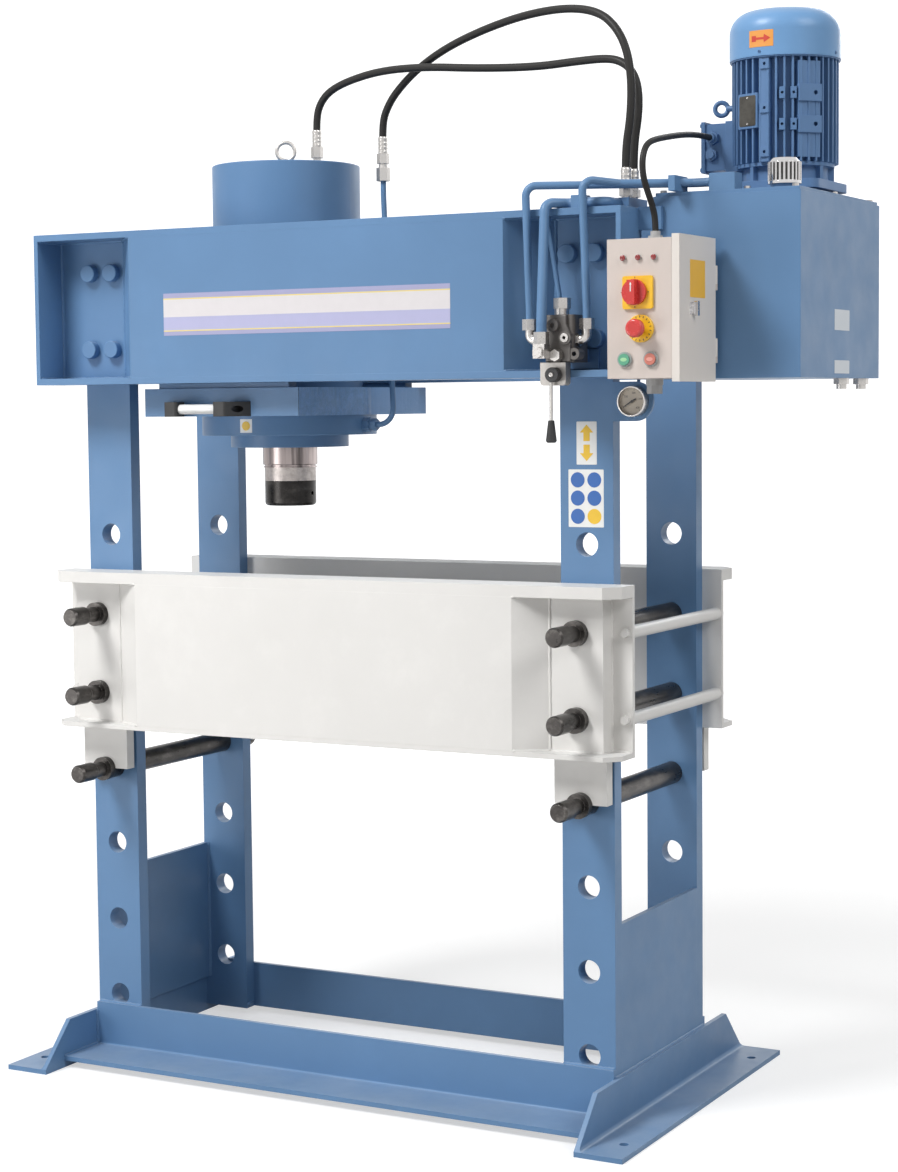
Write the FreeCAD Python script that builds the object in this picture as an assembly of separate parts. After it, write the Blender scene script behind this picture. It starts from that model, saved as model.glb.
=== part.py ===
"""Four-column hydraulic press with a pinned table and a side-shifting cylinder.

Units are millimetres. X runs along the press, -Y is the operator's side and Z is up.
The origin is on the floor, at the middle of the pattern of anchor holes.
"""
import FreeCAD, Part
import math
import os

V = FreeCAD.Vector

# ---- columns
COL_X = 673.5
COL_WIDTH = 134.0
COL_FACE = 267.0
COL_THICK = 38.0
COL_Z = (18.0, 2110.0)
COL_IN = COL_X - COL_WIDTH / 2
COL_OUT = COL_X + COL_WIDTH / 2
COL_BACK = COL_FACE - COL_THICK
PIN_HOLE_R = 28.0
PIN_HOLE_Z0 = 165.0
PIN_PITCH = 200.0
PIN_HOLES = 7

# ---- feet, rails and side plates
FOOT_LEG = 120.0
FOOT_THICK = 12.0
FOOT_Y = 500.0
FOOT_TOP_Y = 395.0
FOOT_ROOT_R = 10.0
ANCHOR_X = 820.0
ANCHOR_Y = 400.0
ANCHOR_R = 11.0
RAIL_DEEP = 155.0
RAIL_TOP = 140.0
SIDE_Z = (98.0, 477.0)
SIDE_THICK = 13.0

# ---- head beams
HEAD_X = 812.5
HEAD_Z = (1748.0, 2126.0)
HEAD_Y = 381.0
HEAD_WEB = 15.0
HEAD_FLANGE = 16.0
HEAD_END = 12.0
HEAD_COVER_X = 520.0
COVER_THICK = 8.0
STIFFENER = 12.0
BOLT_DX = 34.0
BOLT_Z = (1837.0, 2030.0)
BOLT_R = 12.9
BOLT_HOLE_R = 13.0
BOLT_HEAD_R = 22.0
BOLT_HEAD = 20.0
HEAD_WEB_Y = COL_FACE + HEAD_WEB

# ---- table
TABLE_X = 792.5
TABLE_Z = (877.5, 1275.0)
TABLE_Y = 371.0
TABLE_WEB = 12.0
TABLE_TOP = 28.0
TABLE_BOTTOM = 12.0
TABLE_COVER_X = 529.0
TABLE_CLIP = 34.0
DOUBLER = 48.0
LUG = 30.0
TIE_X = 777.0
TIE_R = 15.0
TABLE_WEB_Y = COL_FACE + TABLE_WEB
PIN_Z = (765.0, 965.0, 1165.0)
PIN_R = 27.9
PIN_GAP = 0.3
PIN_END_Y = 342.0
LOW_PIN_SHIFT = DOUBLER - LUG

# ---- cylinder on its carriage
CYL_X = -295.0
PLATE_X = 227.0
PLATE_Y = 319.0
PLATE_Z = (1666.0, 1735.5)
BARREL_R = 189.0
BORE_R = 150.0
BARREL_TOP = 2301.0
BARREL_END = 45.0
HEAD_RING_R = 225.0
HEAD_RING_Z = 1616.0
GLAND_R = 152.0
GLAND_Z = 1585.0
RAM_R = 70.5
NOSE_R = 66.0
RAM_Z = (1539.0, 2160.0)
NOSE_Z = 1498.0
CAP_Z = 1434.0
PISTON_TOP = 2240.0
RUN_FIT = 0.05
PAD_X = 191.0
PAD_Y = (272.0, 308.0)
SLIDE_GAP = 0.3
TRACK_Y = 227.0
TRACK_TOP = 2060.0
TRACK_THICK = 20.0
TRACK_X = 606.0
HANGER_X = 225.0
HANGER_Y = 262.0
HANGER_THICK = 20.0
SHOE = 10.0
TRACK_Z = (TRACK_TOP - TRACK_THICK, TRACK_TOP)

# ---- power unit
TANK_X = (844.0, 1192.0)
TANK_Y = 272.0
TANK_Z = (1742.0, 2150.0)
TANK_WALL = 5.0
LID = 8.0
LID_INSET = 4.0
LID_TOP = TANK_Z[1] + LID
FILLER = (TANK_X[1] - 61, -207.0)
FILLER_R = 22.0
MOTOR_X = TANK_X[1] - 136
MOTOR_CORE_R = 104.0
MOTOR_FIN_R = 121.5
MOTOR_FINS = 40
COWL_R = 127.0
COWL_WALL = 2.0
COWL_DOME = 52.0
SHIELD_TOP = LID_TOP + 316
COWL_Z = (SHIELD_TOP - 9, SHIELD_TOP + 103)
SHAFT_R = 14.0

# ---- valve, lever and pipes
VALVE_X = (634.0, 704.0)
VALVE_Y = (-407.0, -317.0)
VALVE_Z = (1782.0, 1888.0)
LEVER_X = 664.0
LEVER_Z = 1754.0
LEVER_HOUSING_Y = (-409.0, -383.0)
LEVER_ROD_X = 658.0
LEVER_ROD_Y = -420.0
PORT_LEFT = (591.0, -389.0)
PORT_RIGHT = (727.0, -377.0)
PORT_FRONT = (645.0, -442.0)
PORT_TOP = (644.0, -345.0)
PIPE_R = 9.0
WIDE_PIPE_R = 11.0
THIN_PIPE_R = 6.0
PIPE_HOLE_R = 9.0
FLANGE_PIPE_X = 620.0
FLANGE_PIPE_Y = -351.0
MANIFOLD_X = (745.0, 795.0)
MANIFOLD_Y = (-297.0, -193.0)
MANIFOLD_TOP = 2150.0
HOSE_PORT_X = 775.0
HOSE_PORT_Y = (-223.0, -267.0)
HOSE_R = 9.5

# ---- control box and gauge
BOX_X = (834.0, 985.0)
BOX_Y = (-502.0, -296.0)
BOX_Z = (1742.0, 2042.0)
BOX_WALL = 3.0
DOOR_X = (985.3, 1003.0)
DOOR_LAP = 7.5
KNOB = (902.0, 1927.0)
STOP = (914.0, 1849.0)
BUTTONS = (876.0, 937.0)
BUTTON_Z = 1783.0
LAMPS = (873.0, 908.6, 945.0)
LAMP_Z = 2001.0
CABLE_R = 7.0
GAUGE = (795.0, 1693.0)
GAUGE_R = 35.0


# ---------------------------------------------------------------- helpers
def block(x, y, z):
    """Box between pairs of limits."""
    return Part.makeBox(x[1] - x[0], y[1] - y[0], z[1] - z[0], V(x[0], y[0], z[0]))


def place(axis, along, a, b):
    """Point at a distance along an axis, with the other two coordinates in order."""
    if axis == "x":
        return V(along, a, b)
    if axis == "y":
        return V(a, along, b)
    return V(a, b, along)


def rod(axis, radius, span, a, b):
    """Round bar along an axis between two limits."""
    return Part.makeCylinder(radius, span[1] - span[0], place(axis, span[0], a, b), place(axis, 1, 0, 0))


def cone(axis, r_low, r_high, span, a, b):
    """Tapered round bar along an axis between two limits."""
    return Part.makeCone(r_low, r_high, span[1] - span[0], place(axis, span[0], a, b), place(axis, 1, 0, 0))


def prism(axis, outline, span):
    """Outline of the other two coordinates, drawn out along an axis."""
    points = [place(axis, span[0], a, b) for a, b in outline]
    face = Part.Face(Part.makePolygon(points + points[:1]))
    return face.extrude(place(axis, span[1] - span[0], 0, 0))


def hexagon(axis, flats, span, a, b):
    """Hexagonal bar, by the width over its flats."""
    r = flats / math.sqrt(3)
    turns = [math.radians(30 + 60 * i) for i in range(6)]
    return prism(axis, [(a + r * math.cos(t), b + r * math.sin(t)) for t in turns], span)


def ribbed(axis, inner, outer, count, share, span, a, b):
    """Round bar with straight ribs or fins that fill a share of its circle."""
    step = 2 * math.pi / count
    outline = []
    for i in range(count):
        start = i * step
        for r, t in ((inner, 0), (outer, 0.02), (outer, share - 0.02), (inner, share)):
            outline.append((a + r * math.cos(start + t * step), b + r * math.sin(start + t * step)))
    return prism(axis, outline, span)


def joined(shapes):
    """One shape from several that touch."""
    result = shapes[0]
    if len(shapes) > 1:
        result = shapes[0].fuse(shapes[1:])
    return result.removeSplitter()


def less(shape, tools):
    """Shape with the tools cut away."""
    return shape.cut(tools)


def flip_x(shape):
    return shape.mirror(V(0, 0, 0), V(1, 0, 0))


def flip_y(shape):
    return shape.mirror(V(0, 0, 0), V(0, 1, 0))


def four(shape):
    """Shape and its copies in the other three quarters."""
    pair = [shape, flip_x(shape)]
    return pair + [flip_y(one) for one in pair]


def eased(shape, radius, chosen):
    """Shape with a fillet on each edge whose middle point is chosen."""
    return shape.makeFillet(radius, [e for e in shape.Edges if chosen(e.CenterOfMass)])


def route(points, bend=None):
    """Path of straight runs joined by tangent arcs, and the radii of its arcs.

    With no bend radius given, each arc is as large as its two runs allow.
    """
    stops = [V(*p) for p in points]
    start = stops[0]
    edges = []
    radii = []
    for before, corner, after in zip(stops, stops[1:], stops[2:]):
        back = (before - corner).normalize()
        ahead = (after - corner).normalize()
        half = (math.pi - back.getAngle(ahead)) / 2
        run = min((before - corner).Length, (after - corner).Length)
        radius = bend or 0.45 * run / math.tan(half)
        first = corner + back * (radius * math.tan(half))
        last = corner + ahead * (radius * math.tan(half))
        middle = corner + (back + ahead).normalize() * (radius / math.cos(half) - radius)
        edges.append(Part.LineSegment(start, first).toShape())
        edges.append(Part.Arc(first, middle, last).toShape())
        radii.append(radius)
        start = last
    edges.append(Part.LineSegment(start, stops[-1]).toShape())
    return Part.Wire(edges), radii


def tube(points, radius, bend=None):
    """Solid round tube along a route."""
    wire, radii = route(points, bend)
    heading = V(*points[1]) - V(*points[0])
    section = Part.Wire(Part.makeCircle(radius, V(*points[0]), heading))
    solid = wire.makePipeShell([section], True, False)
    print("tube", round(min(radii)), "min radius, volume ratio",
          round(solid.Volume / (math.pi * radius ** 2 * wire.Length), 4))
    return solid


def cord(points, radius):
    """Hose or cable with bends as easy as its runs allow."""
    print("cord radii", [round(r) for r in route(points)[1]])
    return tube(points, radius)


NODES = {}


def node(name, *shapes):
    """Keep one or more separate solids as a named sub-part."""
    NODES[name] = shapes[0] if len(shapes) == 1 else Part.makeCompound(list(shapes))


# ---------------------------------------------------------------- base frame
def foot():
    outer = COL_OUT + FOOT_LEG
    wall = COL_OUT + FOOT_THICK
    leg = block((COL_OUT, wall), (-FOOT_Y, FOOT_Y), (0, FOOT_LEG))
    sole = block((COL_OUT, outer), (-FOOT_Y, FOOT_Y), (0, FOOT_THICK))
    shape = eased(joined([leg, sole]), FOOT_ROOT_R,
                  lambda p: abs(p.x - wall) < 0.1 and abs(p.z - FOOT_THICK) < 0.1)
    slope = [(FOOT_TOP_Y, FOOT_LEG), (FOOT_Y, FOOT_THICK),
             (FOOT_Y + 1, FOOT_THICK), (FOOT_Y + 1, FOOT_LEG + 1),
             (FOOT_TOP_Y, FOOT_LEG + 1)]
    waste = prism("x", slope, (COL_OUT - 1, outer + 1))
    holes = [rod("z", ANCHOR_R, (-1, FOOT_THICK + 1), ANCHOR_X, y) for y in (-ANCHOR_Y, ANCHOR_Y)]
    return less(shape, [waste, flip_y(waste)] + holes)


def base_rail():
    face = -COL_FACE - FOOT_THICK
    upright = block((-COL_OUT, COL_OUT), (face, -COL_FACE), (COL_Z[0], RAIL_TOP))
    ledge = block((-COL_OUT, COL_OUT), (-COL_FACE - RAIL_DEEP, face), (COL_Z[0], COL_Z[0] + FOOT_THICK))
    return eased(joined([upright, ledge]), FOOT_ROOT_R / 2,
                 lambda p: abs(p.y - face) < 0.1 and abs(p.z - COL_Z[0] - FOOT_THICK) < 0.1)


def column():
    bar = block((COL_IN, COL_OUT), (-COL_FACE, -COL_BACK), COL_Z)
    cut = (-COL_FACE - 1, -COL_BACK + 1)
    tools = [rod("y", PIN_HOLE_R, cut, COL_X, PIN_HOLE_Z0 + PIN_PITCH * k) for k in range(PIN_HOLES)]
    tools += [rod("y", BOLT_HOLE_R, cut, COL_X + d, z) for d in (-BOLT_DX, BOLT_DX) for z in BOLT_Z]
    return less(bar, tools)


left_and_right = block((COL_OUT - SIDE_THICK, COL_OUT), (-COL_BACK, COL_BACK), SIDE_Z)
node("feet", foot(), flip_x(foot()))
node("base_rails", base_rail(), flip_y(base_rail()))
node("columns", *four(column()))
node("side_plates", left_and_right, flip_x(left_and_right))


# ---------------------------------------------------------------- head
pipe_hole = rod("z", PIPE_HOLE_R, (HEAD_Z[1] - HEAD_FLANGE - 1, HEAD_Z[1] + 1), FLANGE_PIPE_X, FLANGE_PIPE_Y)


def head_plates():
    """Plates of the front head beam, which are welded face to face."""
    low, high = HEAD_Z
    inner = (low + HEAD_FLANGE, high - HEAD_FLANGE)
    depth = (-HEAD_Y, -HEAD_WEB_Y)
    web = block((-HEAD_X, HEAD_X), (-HEAD_WEB_Y, -COL_FACE), HEAD_Z)
    bolt_holes = [rod("y", BOLT_HOLE_R, (-HEAD_WEB_Y - 1, -COL_FACE + 1), side * COL_X + d, z)
                  for side in (-1, 1) for d in (-BOLT_DX, BOLT_DX) for z in BOLT_Z]
    top = block((-HEAD_X, HEAD_X), depth, (inner[1], high))
    bottom = block((-HEAD_X, HEAD_X), depth, (low, inner[0]))
    end = block((HEAD_X - HEAD_END, HEAD_X), depth, inner)
    cover = block((-HEAD_COVER_X, HEAD_COVER_X), (-HEAD_Y, -HEAD_Y + COVER_THICK), inner)
    rib = block((HEAD_COVER_X - STIFFENER, HEAD_COVER_X), (-HEAD_Y + COVER_THICK, -HEAD_WEB_Y), inner)
    return [less(web, bolt_holes), less(top, [pipe_hole]), bottom, end, flip_x(end), cover, rib, flip_x(rib)]


def head_bolt(x, z):
    face = -HEAD_WEB_Y
    head = eased(rod("y", BOLT_HEAD_R, (face - BOLT_HEAD, face), x, z), 3,
                 lambda p: abs(p.y - face + BOLT_HEAD) < 0.1)
    shank = rod("y", BOLT_R, (face, -COL_BACK), x, z)
    nut = hexagon("y", 2 * BOLT_HEAD_R - 4, (-COL_BACK, -COL_BACK + BOLT_HEAD), x, z)
    return joined([head, shank, nut])


head_bolts = []
for bolt_z in BOLT_Z:
    for bolt_x in (COL_X - BOLT_DX, COL_X + BOLT_DX):
        head_bolts += four(head_bolt(bolt_x, bolt_z))
track = block((-TRACK_X, TRACK_X), (-COL_FACE, -TRACK_Y), TRACK_Z)
node("head_beam_front", *head_plates())
node("head_beam_rear", *[flip_y(plate) for plate in head_plates()])
node("head_bolts", *head_bolts)
node("carriage_tracks", track, flip_y(track))


# ---------------------------------------------------------------- table
def table_plates():
    """Plates of the front table beam, which are welded face to face."""
    low, high = TABLE_Z
    inner = (low + TABLE_BOTTOM, high - TABLE_TOP)
    web = block((-TABLE_X, TABLE_X), (-TABLE_WEB_Y, -COL_FACE), inner)
    pin_holes = [rod("y", PIN_HOLE_R, (-TABLE_WEB_Y - 1, -COL_FACE + 1), side * COL_X, z)
                 for side in (-1, 1) for z in PIN_Z[1:]]
    flange = [(-TABLE_X, -COL_FACE), (-TABLE_X, -TABLE_Y + TABLE_CLIP), (-TABLE_X + TABLE_CLIP, -TABLE_Y),
              (TABLE_X - TABLE_CLIP, -TABLE_Y), (TABLE_X, -TABLE_Y + TABLE_CLIP), (TABLE_X, -COL_FACE)]
    cover = block((-TABLE_COVER_X, TABLE_COVER_X), (-TABLE_Y, -TABLE_Y + COVER_THICK), inner)
    rib = block((TABLE_COVER_X - STIFFENER, TABLE_COVER_X), (-TABLE_Y + COVER_THICK, -TABLE_WEB_Y), inner)
    return [less(web, pin_holes), prism("z", flange, (inner[1], high)), prism("z", flange, (low, inner[0])),
            cover, rib, flip_x(rib)]


def doubler():
    low = TABLE_Z[0] + TABLE_BOTTOM
    high = TABLE_Z[1] - TABLE_TOP
    slab = block((COL_IN, COL_OUT), (-TABLE_WEB_Y - DOUBLER, -TABLE_WEB_Y), (low, high))
    return less(slab, [rod("y", PIN_HOLE_R, (-TABLE_Y, -COL_FACE), COL_X, z) for z in PIN_Z[1:]])


def lug():
    slab = block((COL_IN, COL_OUT), (-TABLE_WEB_Y - LUG, -TABLE_WEB_Y), (PIN_Z[0] + 1, TABLE_Z[0]))
    return less(slab, [rod("y", PIN_HOLE_R, (-TABLE_Y, -COL_FACE), COL_X, PIN_Z[0])])


def tie_bolt(z):
    washer = rod("y", TIE_R, (-TABLE_WEB_Y - 3, -TABLE_WEB_Y), TIE_X, z)
    head = hexagon("y", 19, (-TABLE_WEB_Y - 14, -TABLE_WEB_Y - 3), TIE_X, z)
    return joined([washer, head])


ties = [rod("y", TIE_R, (-COL_FACE, COL_FACE), side * TIE_X, z) for side in (-1, 1) for z in PIN_Z[1:]]
node("table_beam_front", *table_plates())
node("table_beam_rear", *[flip_y(plate) for plate in table_plates()])
node("pin_blocks", *(four(doubler()) + four(lug())))
node("tie_rods", *(ties + four(tie_bolt(PIN_Z[1])) + four(tie_bolt(PIN_Z[2]))))


def pin(x, z, shift):
    face = -TABLE_WEB_Y - DOUBLER - PIN_GAP + shift
    end = PIN_END_Y + shift
    shaft = rod("y", PIN_R, (face, end - 6), x, z)
    tip = cone("y", PIN_R, PIN_R - 6, (end - 6, end), x, z)
    collar = rod("y", 30, (face - 18, face), x, z)
    neck = rod("y", 19, (face - 58, face - 18), x, z)
    shoulder = cone("y", 23, 19, (face - 64, face - 58), x, z)
    grip = rod("y", 23, (face - 116, face - 64), x, z)
    rim = cone("y", 19, 23, (face - 122, face - 116), x, z)
    return joined([shaft, tip, collar, neck, shoulder, grip, rim])


for side_name, side in (("left", -1), ("right", 1)):
    for level, pin_z in zip(("low", "middle", "high"), PIN_Z):
        shift = LOW_PIN_SHIFT if level == "low" else 0
        node("pin_" + level + "_" + side_name, pin(side * COL_X, pin_z, shift))


# ---------------------------------------------------------------- cylinder and carriage
def around(dx):
    """Limits in X at equal distances from the cylinder's axis."""
    return (CYL_X - dx, CYL_X + dx)


plate = block(around(PLATE_X), (-PLATE_Y, PLATE_Y), PLATE_Z)
plate = less(plate, [rod("z", BARREL_R, (PLATE_Z[0] - 1, PLATE_Z[1] + 1), CYL_X, 0)])
pad_z = (PLATE_Z[1], HEAD_Z[0] - SLIDE_GAP)
pad = block(around(PAD_X), (-PAD_Y[1], -PAD_Y[0]), pad_z)
node("carriage_plate", plate)

shoe_z = (TRACK_Z[1] + SLIDE_GAP, TRACK_Z[1] + SLIDE_GAP + SHOE)
hanger_z = (shoe_z[1], shoe_z[1] + HANGER_THICK)
hanger = [block(around(HANGER_X), (-HANGER_Y, HANGER_Y), hanger_z)]
for dx in (-HANGER_X + 40, HANGER_X - 40):
    shoe = block((CYL_X + dx - 40, CYL_X + dx + 40), (-HANGER_Y, -TRACK_Y - 3), shoe_z)
    hanger += [shoe, flip_y(shoe)]
hanger = less(joined(hanger), [rod("z", BARREL_R, (shoe_z[0], hanger_z[1] + 1), CYL_X, 0)])
node("carriage_guides", hanger, pad, flip_y(pad))

bore_top = BARREL_TOP - BARREL_END
barrel = rod("z", BARREL_R, (PLATE_Z[0], BARREL_TOP), CYL_X, 0)
barrel = less(barrel, [rod("z", BORE_R, (PLATE_Z[0] - 1, bore_top), CYL_X, 0)])
node("barrel", eased(barrel, 3, lambda p: abs(p.z - BARREL_TOP) < 0.1))

ring = eased(rod("z", HEAD_RING_R, (HEAD_RING_Z, PLATE_Z[0]), CYL_X, 0), 2,
             lambda p: abs(p.z - HEAD_RING_Z) < 0.1)
gland = eased(rod("z", GLAND_R, (GLAND_Z, HEAD_RING_Z), CYL_X, 0), 2, lambda p: abs(p.z - GLAND_Z) < 0.1)
ram_bore = rod("z", RAM_R + RUN_FIT, (GLAND_Z - 1, PLATE_Z[0] + 1), CYL_X, 0)
node("cylinder_head", less(joined([ring, gland]), [ram_bore]))

piston = rod("z", BORE_R - RUN_FIT, (RAM_Z[1], PISTON_TOP), CYL_X, 0)
ram = rod("z", RAM_R, RAM_Z, CYL_X, 0)
nose = rod("z", NOSE_R, (NOSE_Z, RAM_Z[0]), CYL_X, 0)
snap_ring = rod("z", NOSE_R + 3, (RAM_Z[0] - 7, RAM_Z[0] - 4), CYL_X, 0)
ram_shoulder = lambda p: abs(p.z - RAM_Z[0]) < 0.1
node("ram", joined([piston, eased(ram, 2.5, ram_shoulder), nose, snap_ring]))

cap = eased(rod("z", NOSE_R, (CAP_Z, NOSE_Z), CYL_X, 0), 9, lambda p: abs(p.z - CAP_Z) < 0.1)
set_screw = rod("x", 6, (CYL_X + NOSE_R - 12, CYL_X + NOSE_R + 1), 0, CAP_Z + 31)
node("ram_cap", less(cap, [set_screw]))

eye_z = BARREL_TOP + 39
eye = Part.makeTorus(23, 5, V(CYL_X, 0, eye_z), V(math.sin(0.5), -math.cos(0.5), 0))
eye_foot = rod("z", 17, (BARREL_TOP, BARREL_TOP + 8), CYL_X, 0)
eye_neck = rod("z", 8, (BARREL_TOP + 8, eye_z - 22), CYL_X, 0)
eye_bolt = joined([eye, eye_foot, eye_neck])

# push handle on the front of the carriage plate
HANDLE_X = -331.0
HANDLE_Z = (1666.0, 1702.0)
HANDLE_Y = PLATE_Y + 45
HANDLE_R = 12.0
outline = [(53, HANDLE_Y - 18), (53, HANDLE_Y + 19), (88, HANDLE_Y + 19), (124, PLATE_Y), (80, PLATE_Y)]
brackets = []
for side in (-1, 1):
    bracket = prism("z", [(HANDLE_X + side * a, -b) for a, b in outline], HANDLE_Z)
    bracket = eased(bracket, 7, lambda p: abs(p.z - sum(HANDLE_Z) / 2) < 0.1 and p.y < -PLATE_Y - 1)
    pocket = rod("y", 8, (-HANDLE_Y - 20, -PLATE_Y - 8), HANDLE_X + side * 106, sum(HANDLE_Z) / 2)
    brackets.append(less(bracket, [pocket]))
node("handle_brackets", *brackets)
node("handle_tube", rod("x", HANDLE_R, (HANDLE_X - 53, HANDLE_X + 53), -HANDLE_Y, sum(HANDLE_Z) / 2))

# hose end A on top of the barrel, and the riser pipe with hose end B beside it
HOSE_A_X = -201.0
HOSE_B_X = -8.0
HOSE_A_Z = BARREL_TOP + 86
HOSE_B_Z = BARREL_TOP + 56
RISER_X = 15.0
RING_PORT_Z = sum((HEAD_RING_Z, PLATE_Z[0])) / 2
end_a = [rod("z", 10, (BARREL_TOP, HOSE_A_Z - 69), HOSE_A_X, 0),
         hexagon("z", 27, (HOSE_A_Z - 69, HOSE_A_Z - 41), HOSE_A_X, 0),
         rod("z", 11, (HOSE_A_Z - 41, HOSE_A_Z), HOSE_A_X, 0)]
end_b = [hexagon("z", 30, (HOSE_B_Z - 107, HOSE_B_Z - 74), HOSE_B_X, 0),
         rod("z", 11, (HOSE_B_Z - 74, HOSE_B_Z - 64), HOSE_B_X, 0),
         hexagon("z", 27, (HOSE_B_Z - 64, HOSE_B_Z - 39), HOSE_B_X, 0),
         rod("z", 11, (HOSE_B_Z - 39, HOSE_B_Z), HOSE_B_X, 0)]
ring_face = CYL_X + HEAD_RING_R
ring_port = joined([hexagon("x", 32, (ring_face - 1, ring_face + 18), 0, RING_PORT_Z),
                    rod("x", 12, (ring_face + 18, ring_face + 22), 0, RING_PORT_Z),
                    hexagon("x", 27, (ring_face + 22, ring_face + 36), 0, RING_PORT_Z)])
ring_port = less(ring_port, [rod("z", HEAD_RING_R, (HEAD_RING_Z - 1, PLATE_Z[0] + 1), CYL_X, 0)])
node("cylinder_fittings", eye_bolt, joined(end_a), joined(end_b), ring_port)
riser = [(HOSE_B_X, 0, HOSE_B_Z - 107), (HOSE_B_X, 0, HOSE_B_Z - 142), (RISER_X, 0, RING_PORT_Z),
         (ring_face + 36, 0, RING_PORT_Z)]
node("riser_pipe", tube(riser, 7, 42))

# ---------------------------------------------------------------- hoses to the manifold
PORT_TOP_Z = 2219.0
hose_a = [(HOSE_A_X, 0, HOSE_A_Z), (-201, 0, 2424), (-185, -4, 2458), (-152, -11, 2484), (-85, -26, 2503),
          (20, -50, 2516), (160, -82, 2511), (330, -121, 2490), (500, -161, 2476), (620, -189, 2477),
          (706, -210, 2475), (748, -219, 2462), (775, -223, 2436), (787, -223, 2401), (788, -223, 2345),
          (775, -223, 2270), (HOSE_PORT_X, HOSE_PORT_Y[0], PORT_TOP_Z)]
hose_b = [(HOSE_B_X, 0, HOSE_B_Z), (-8, 0, 2395), (8, -5, 2430), (42, -17, 2466), (110, -38, 2512),
          (210, -71, 2553), (340, -116, 2582), (480, -166, 2599), (610, -211, 2597), (700, -242, 2575),
          (752, -260, 2532), (780, -267, 2478), (790, -267, 2410), (787, -267, 2330),
          (775, -267, 2265), (HOSE_PORT_X, HOSE_PORT_Y[1], PORT_TOP_Z)]
node("hose_a", cord(hose_a, HOSE_R))
node("hose_b", cord(hose_b, HOSE_R))

# ---------------------------------------------------------------- tank
wall_x = (TANK_X[0] + TANK_WALL, TANK_X[1] - TANK_WALL)
wall_y = TANK_Y - TANK_WALL
tank = block(TANK_X, (-TANK_Y, TANK_Y), TANK_Z)
tank = less(tank, [block(wall_x, (-wall_y, wall_y), (TANK_Z[0] + TANK_WALL, TANK_Z[1] + 1))])
node("tank", tank)

lid_x = (TANK_X[0] + LID_INSET, TANK_X[1] - LID_INSET)
lid_y = TANK_Y - LID_INSET
lid = block(lid_x, (-lid_y, lid_y), (TANK_Z[1], LID_TOP))
neck_top = LID_TOP + 41
neck = rod("z", FILLER_R, (LID_TOP, neck_top), *FILLER)
neck_foot = rod("z", 30, (LID_TOP, LID_TOP + 10), *FILLER)
node("tank_lid", joined([lid, neck_foot, neck]))

screw_x = (lid_x[0] + 14, lid_x[1] - 14)
screw_y = lid_y - 13
screw_spots = [(x, y) for x in screw_x for y in (-screw_y, 0, screw_y)]
screw_spots += [(MOTOR_X + 6, -screw_y), (MOTOR_X + 6, screw_y)]
screws = [hexagon("z", 13, (LID_TOP, LID_TOP + 6), x, y) for x, y in screw_spots]
drain_x = TANK_X[1] - 22
drains = [hexagon("z", 32, (TANK_Z[0] - 14, TANK_Z[0]), drain_x, y) for y in (65, 205)]
drain_tips = [rod("z", 12, (TANK_Z[0] - 25, TANK_Z[0] - 14), drain_x, y) for y in (65, 205)]
node("tank_fittings", *(screws + [joined([a, b]) for a, b in zip(drains, drain_tips)]))

cap_z = (LID_TOP + 10 + SLIDE_GAP, LID_TOP + 67)
breather = ribbed("z", 34, 37, 24, 0.5, (cap_z[0] + 6, cap_z[1] - 9), *FILLER)
skirt = rod("z", 37, (cap_z[0], cap_z[0] + 6), *FILLER)
dome = cone("z", 36, 28, (cap_z[1] - 9, cap_z[1]), *FILLER)
cap_bore = rod("z", FILLER_R + RUN_FIT, (cap_z[0] - 1, neck_top + 2), *FILLER)
node("filler_cap", less(joined([skirt, breather, dome]), [cap_bore]))

BRACKET_Z = ((1760.0, 1810.0), (2076.0, 2128.0))
bracket_x = (HEAD_X, TANK_X[0] + 24)
tank_bars = [block(bracket_x, (-TANK_Y - 12, -TANK_Y), z) for z in BRACKET_Z]
box_bars = [block((HEAD_X, BOX_X[0]), (-375, -305), (z, z + 40)) for z in (1790, 1960)]
plate_y = (-COL_FACE, -COL_FACE + 8)
gauge_plate = joined([block((COL_OUT, GAUGE[0]), plate_y, (GAUGE[1] - 45, GAUGE[1] + 45)),
                      rod("y", 45, plate_y, *GAUGE)])
gauge_plate = less(gauge_plate, [rod("y", 26, (plate_y[0] - 1, plate_y[1] + 1), *GAUGE)])
side_bars = tank_bars + [flip_y(bar) for bar in tank_bars] + box_bars

# ---------------------------------------------------------------- motor
FLANGE_Z = (LID_TOP + 10, LID_TOP + 30)
BODY_Z = (SHIELD_TOP - 245, SHIELD_TOP - 12)
BODY_LOW = BODY_Z[0]
PAD_FACE = MOTOR_X - 124
TERMINAL_X = (PAD_FACE - 53, PAD_FACE)
TERMINAL_Y = (-55.0, 30.0)
TERMINAL_Z = (BODY_LOW - 7, BODY_LOW + 100)
EYE_X = PAD_FACE - 32
EYE_Z = BODY_LOW + 139


def on_motor(axis_z, radius):
    return rod("z", radius, axis_z, MOTOR_X, 0)


MOTOR_FOOT = 115.0
motor = [on_motor((LID_TOP, FLANGE_Z[0]), 96),
         eased(block((MOTOR_X - MOTOR_FOOT, MOTOR_X + MOTOR_FOOT), (-MOTOR_FOOT, MOTOR_FOOT), FLANGE_Z), 24,
               lambda p: abs(p.x - MOTOR_X) > MOTOR_FOOT - 1 and abs(p.y) > MOTOR_FOOT - 1),
         on_motor((FLANGE_Z[1], BODY_LOW - 8), 98),
         on_motor((BODY_LOW - 8, BODY_LOW), 112),
         ribbed("z", MOTOR_CORE_R, MOTOR_FIN_R, MOTOR_FINS, 0.28, BODY_Z, MOTOR_X, 0),
         on_motor((BODY_Z[1], SHIELD_TOP), COWL_R - COWL_WALL)]


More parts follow.
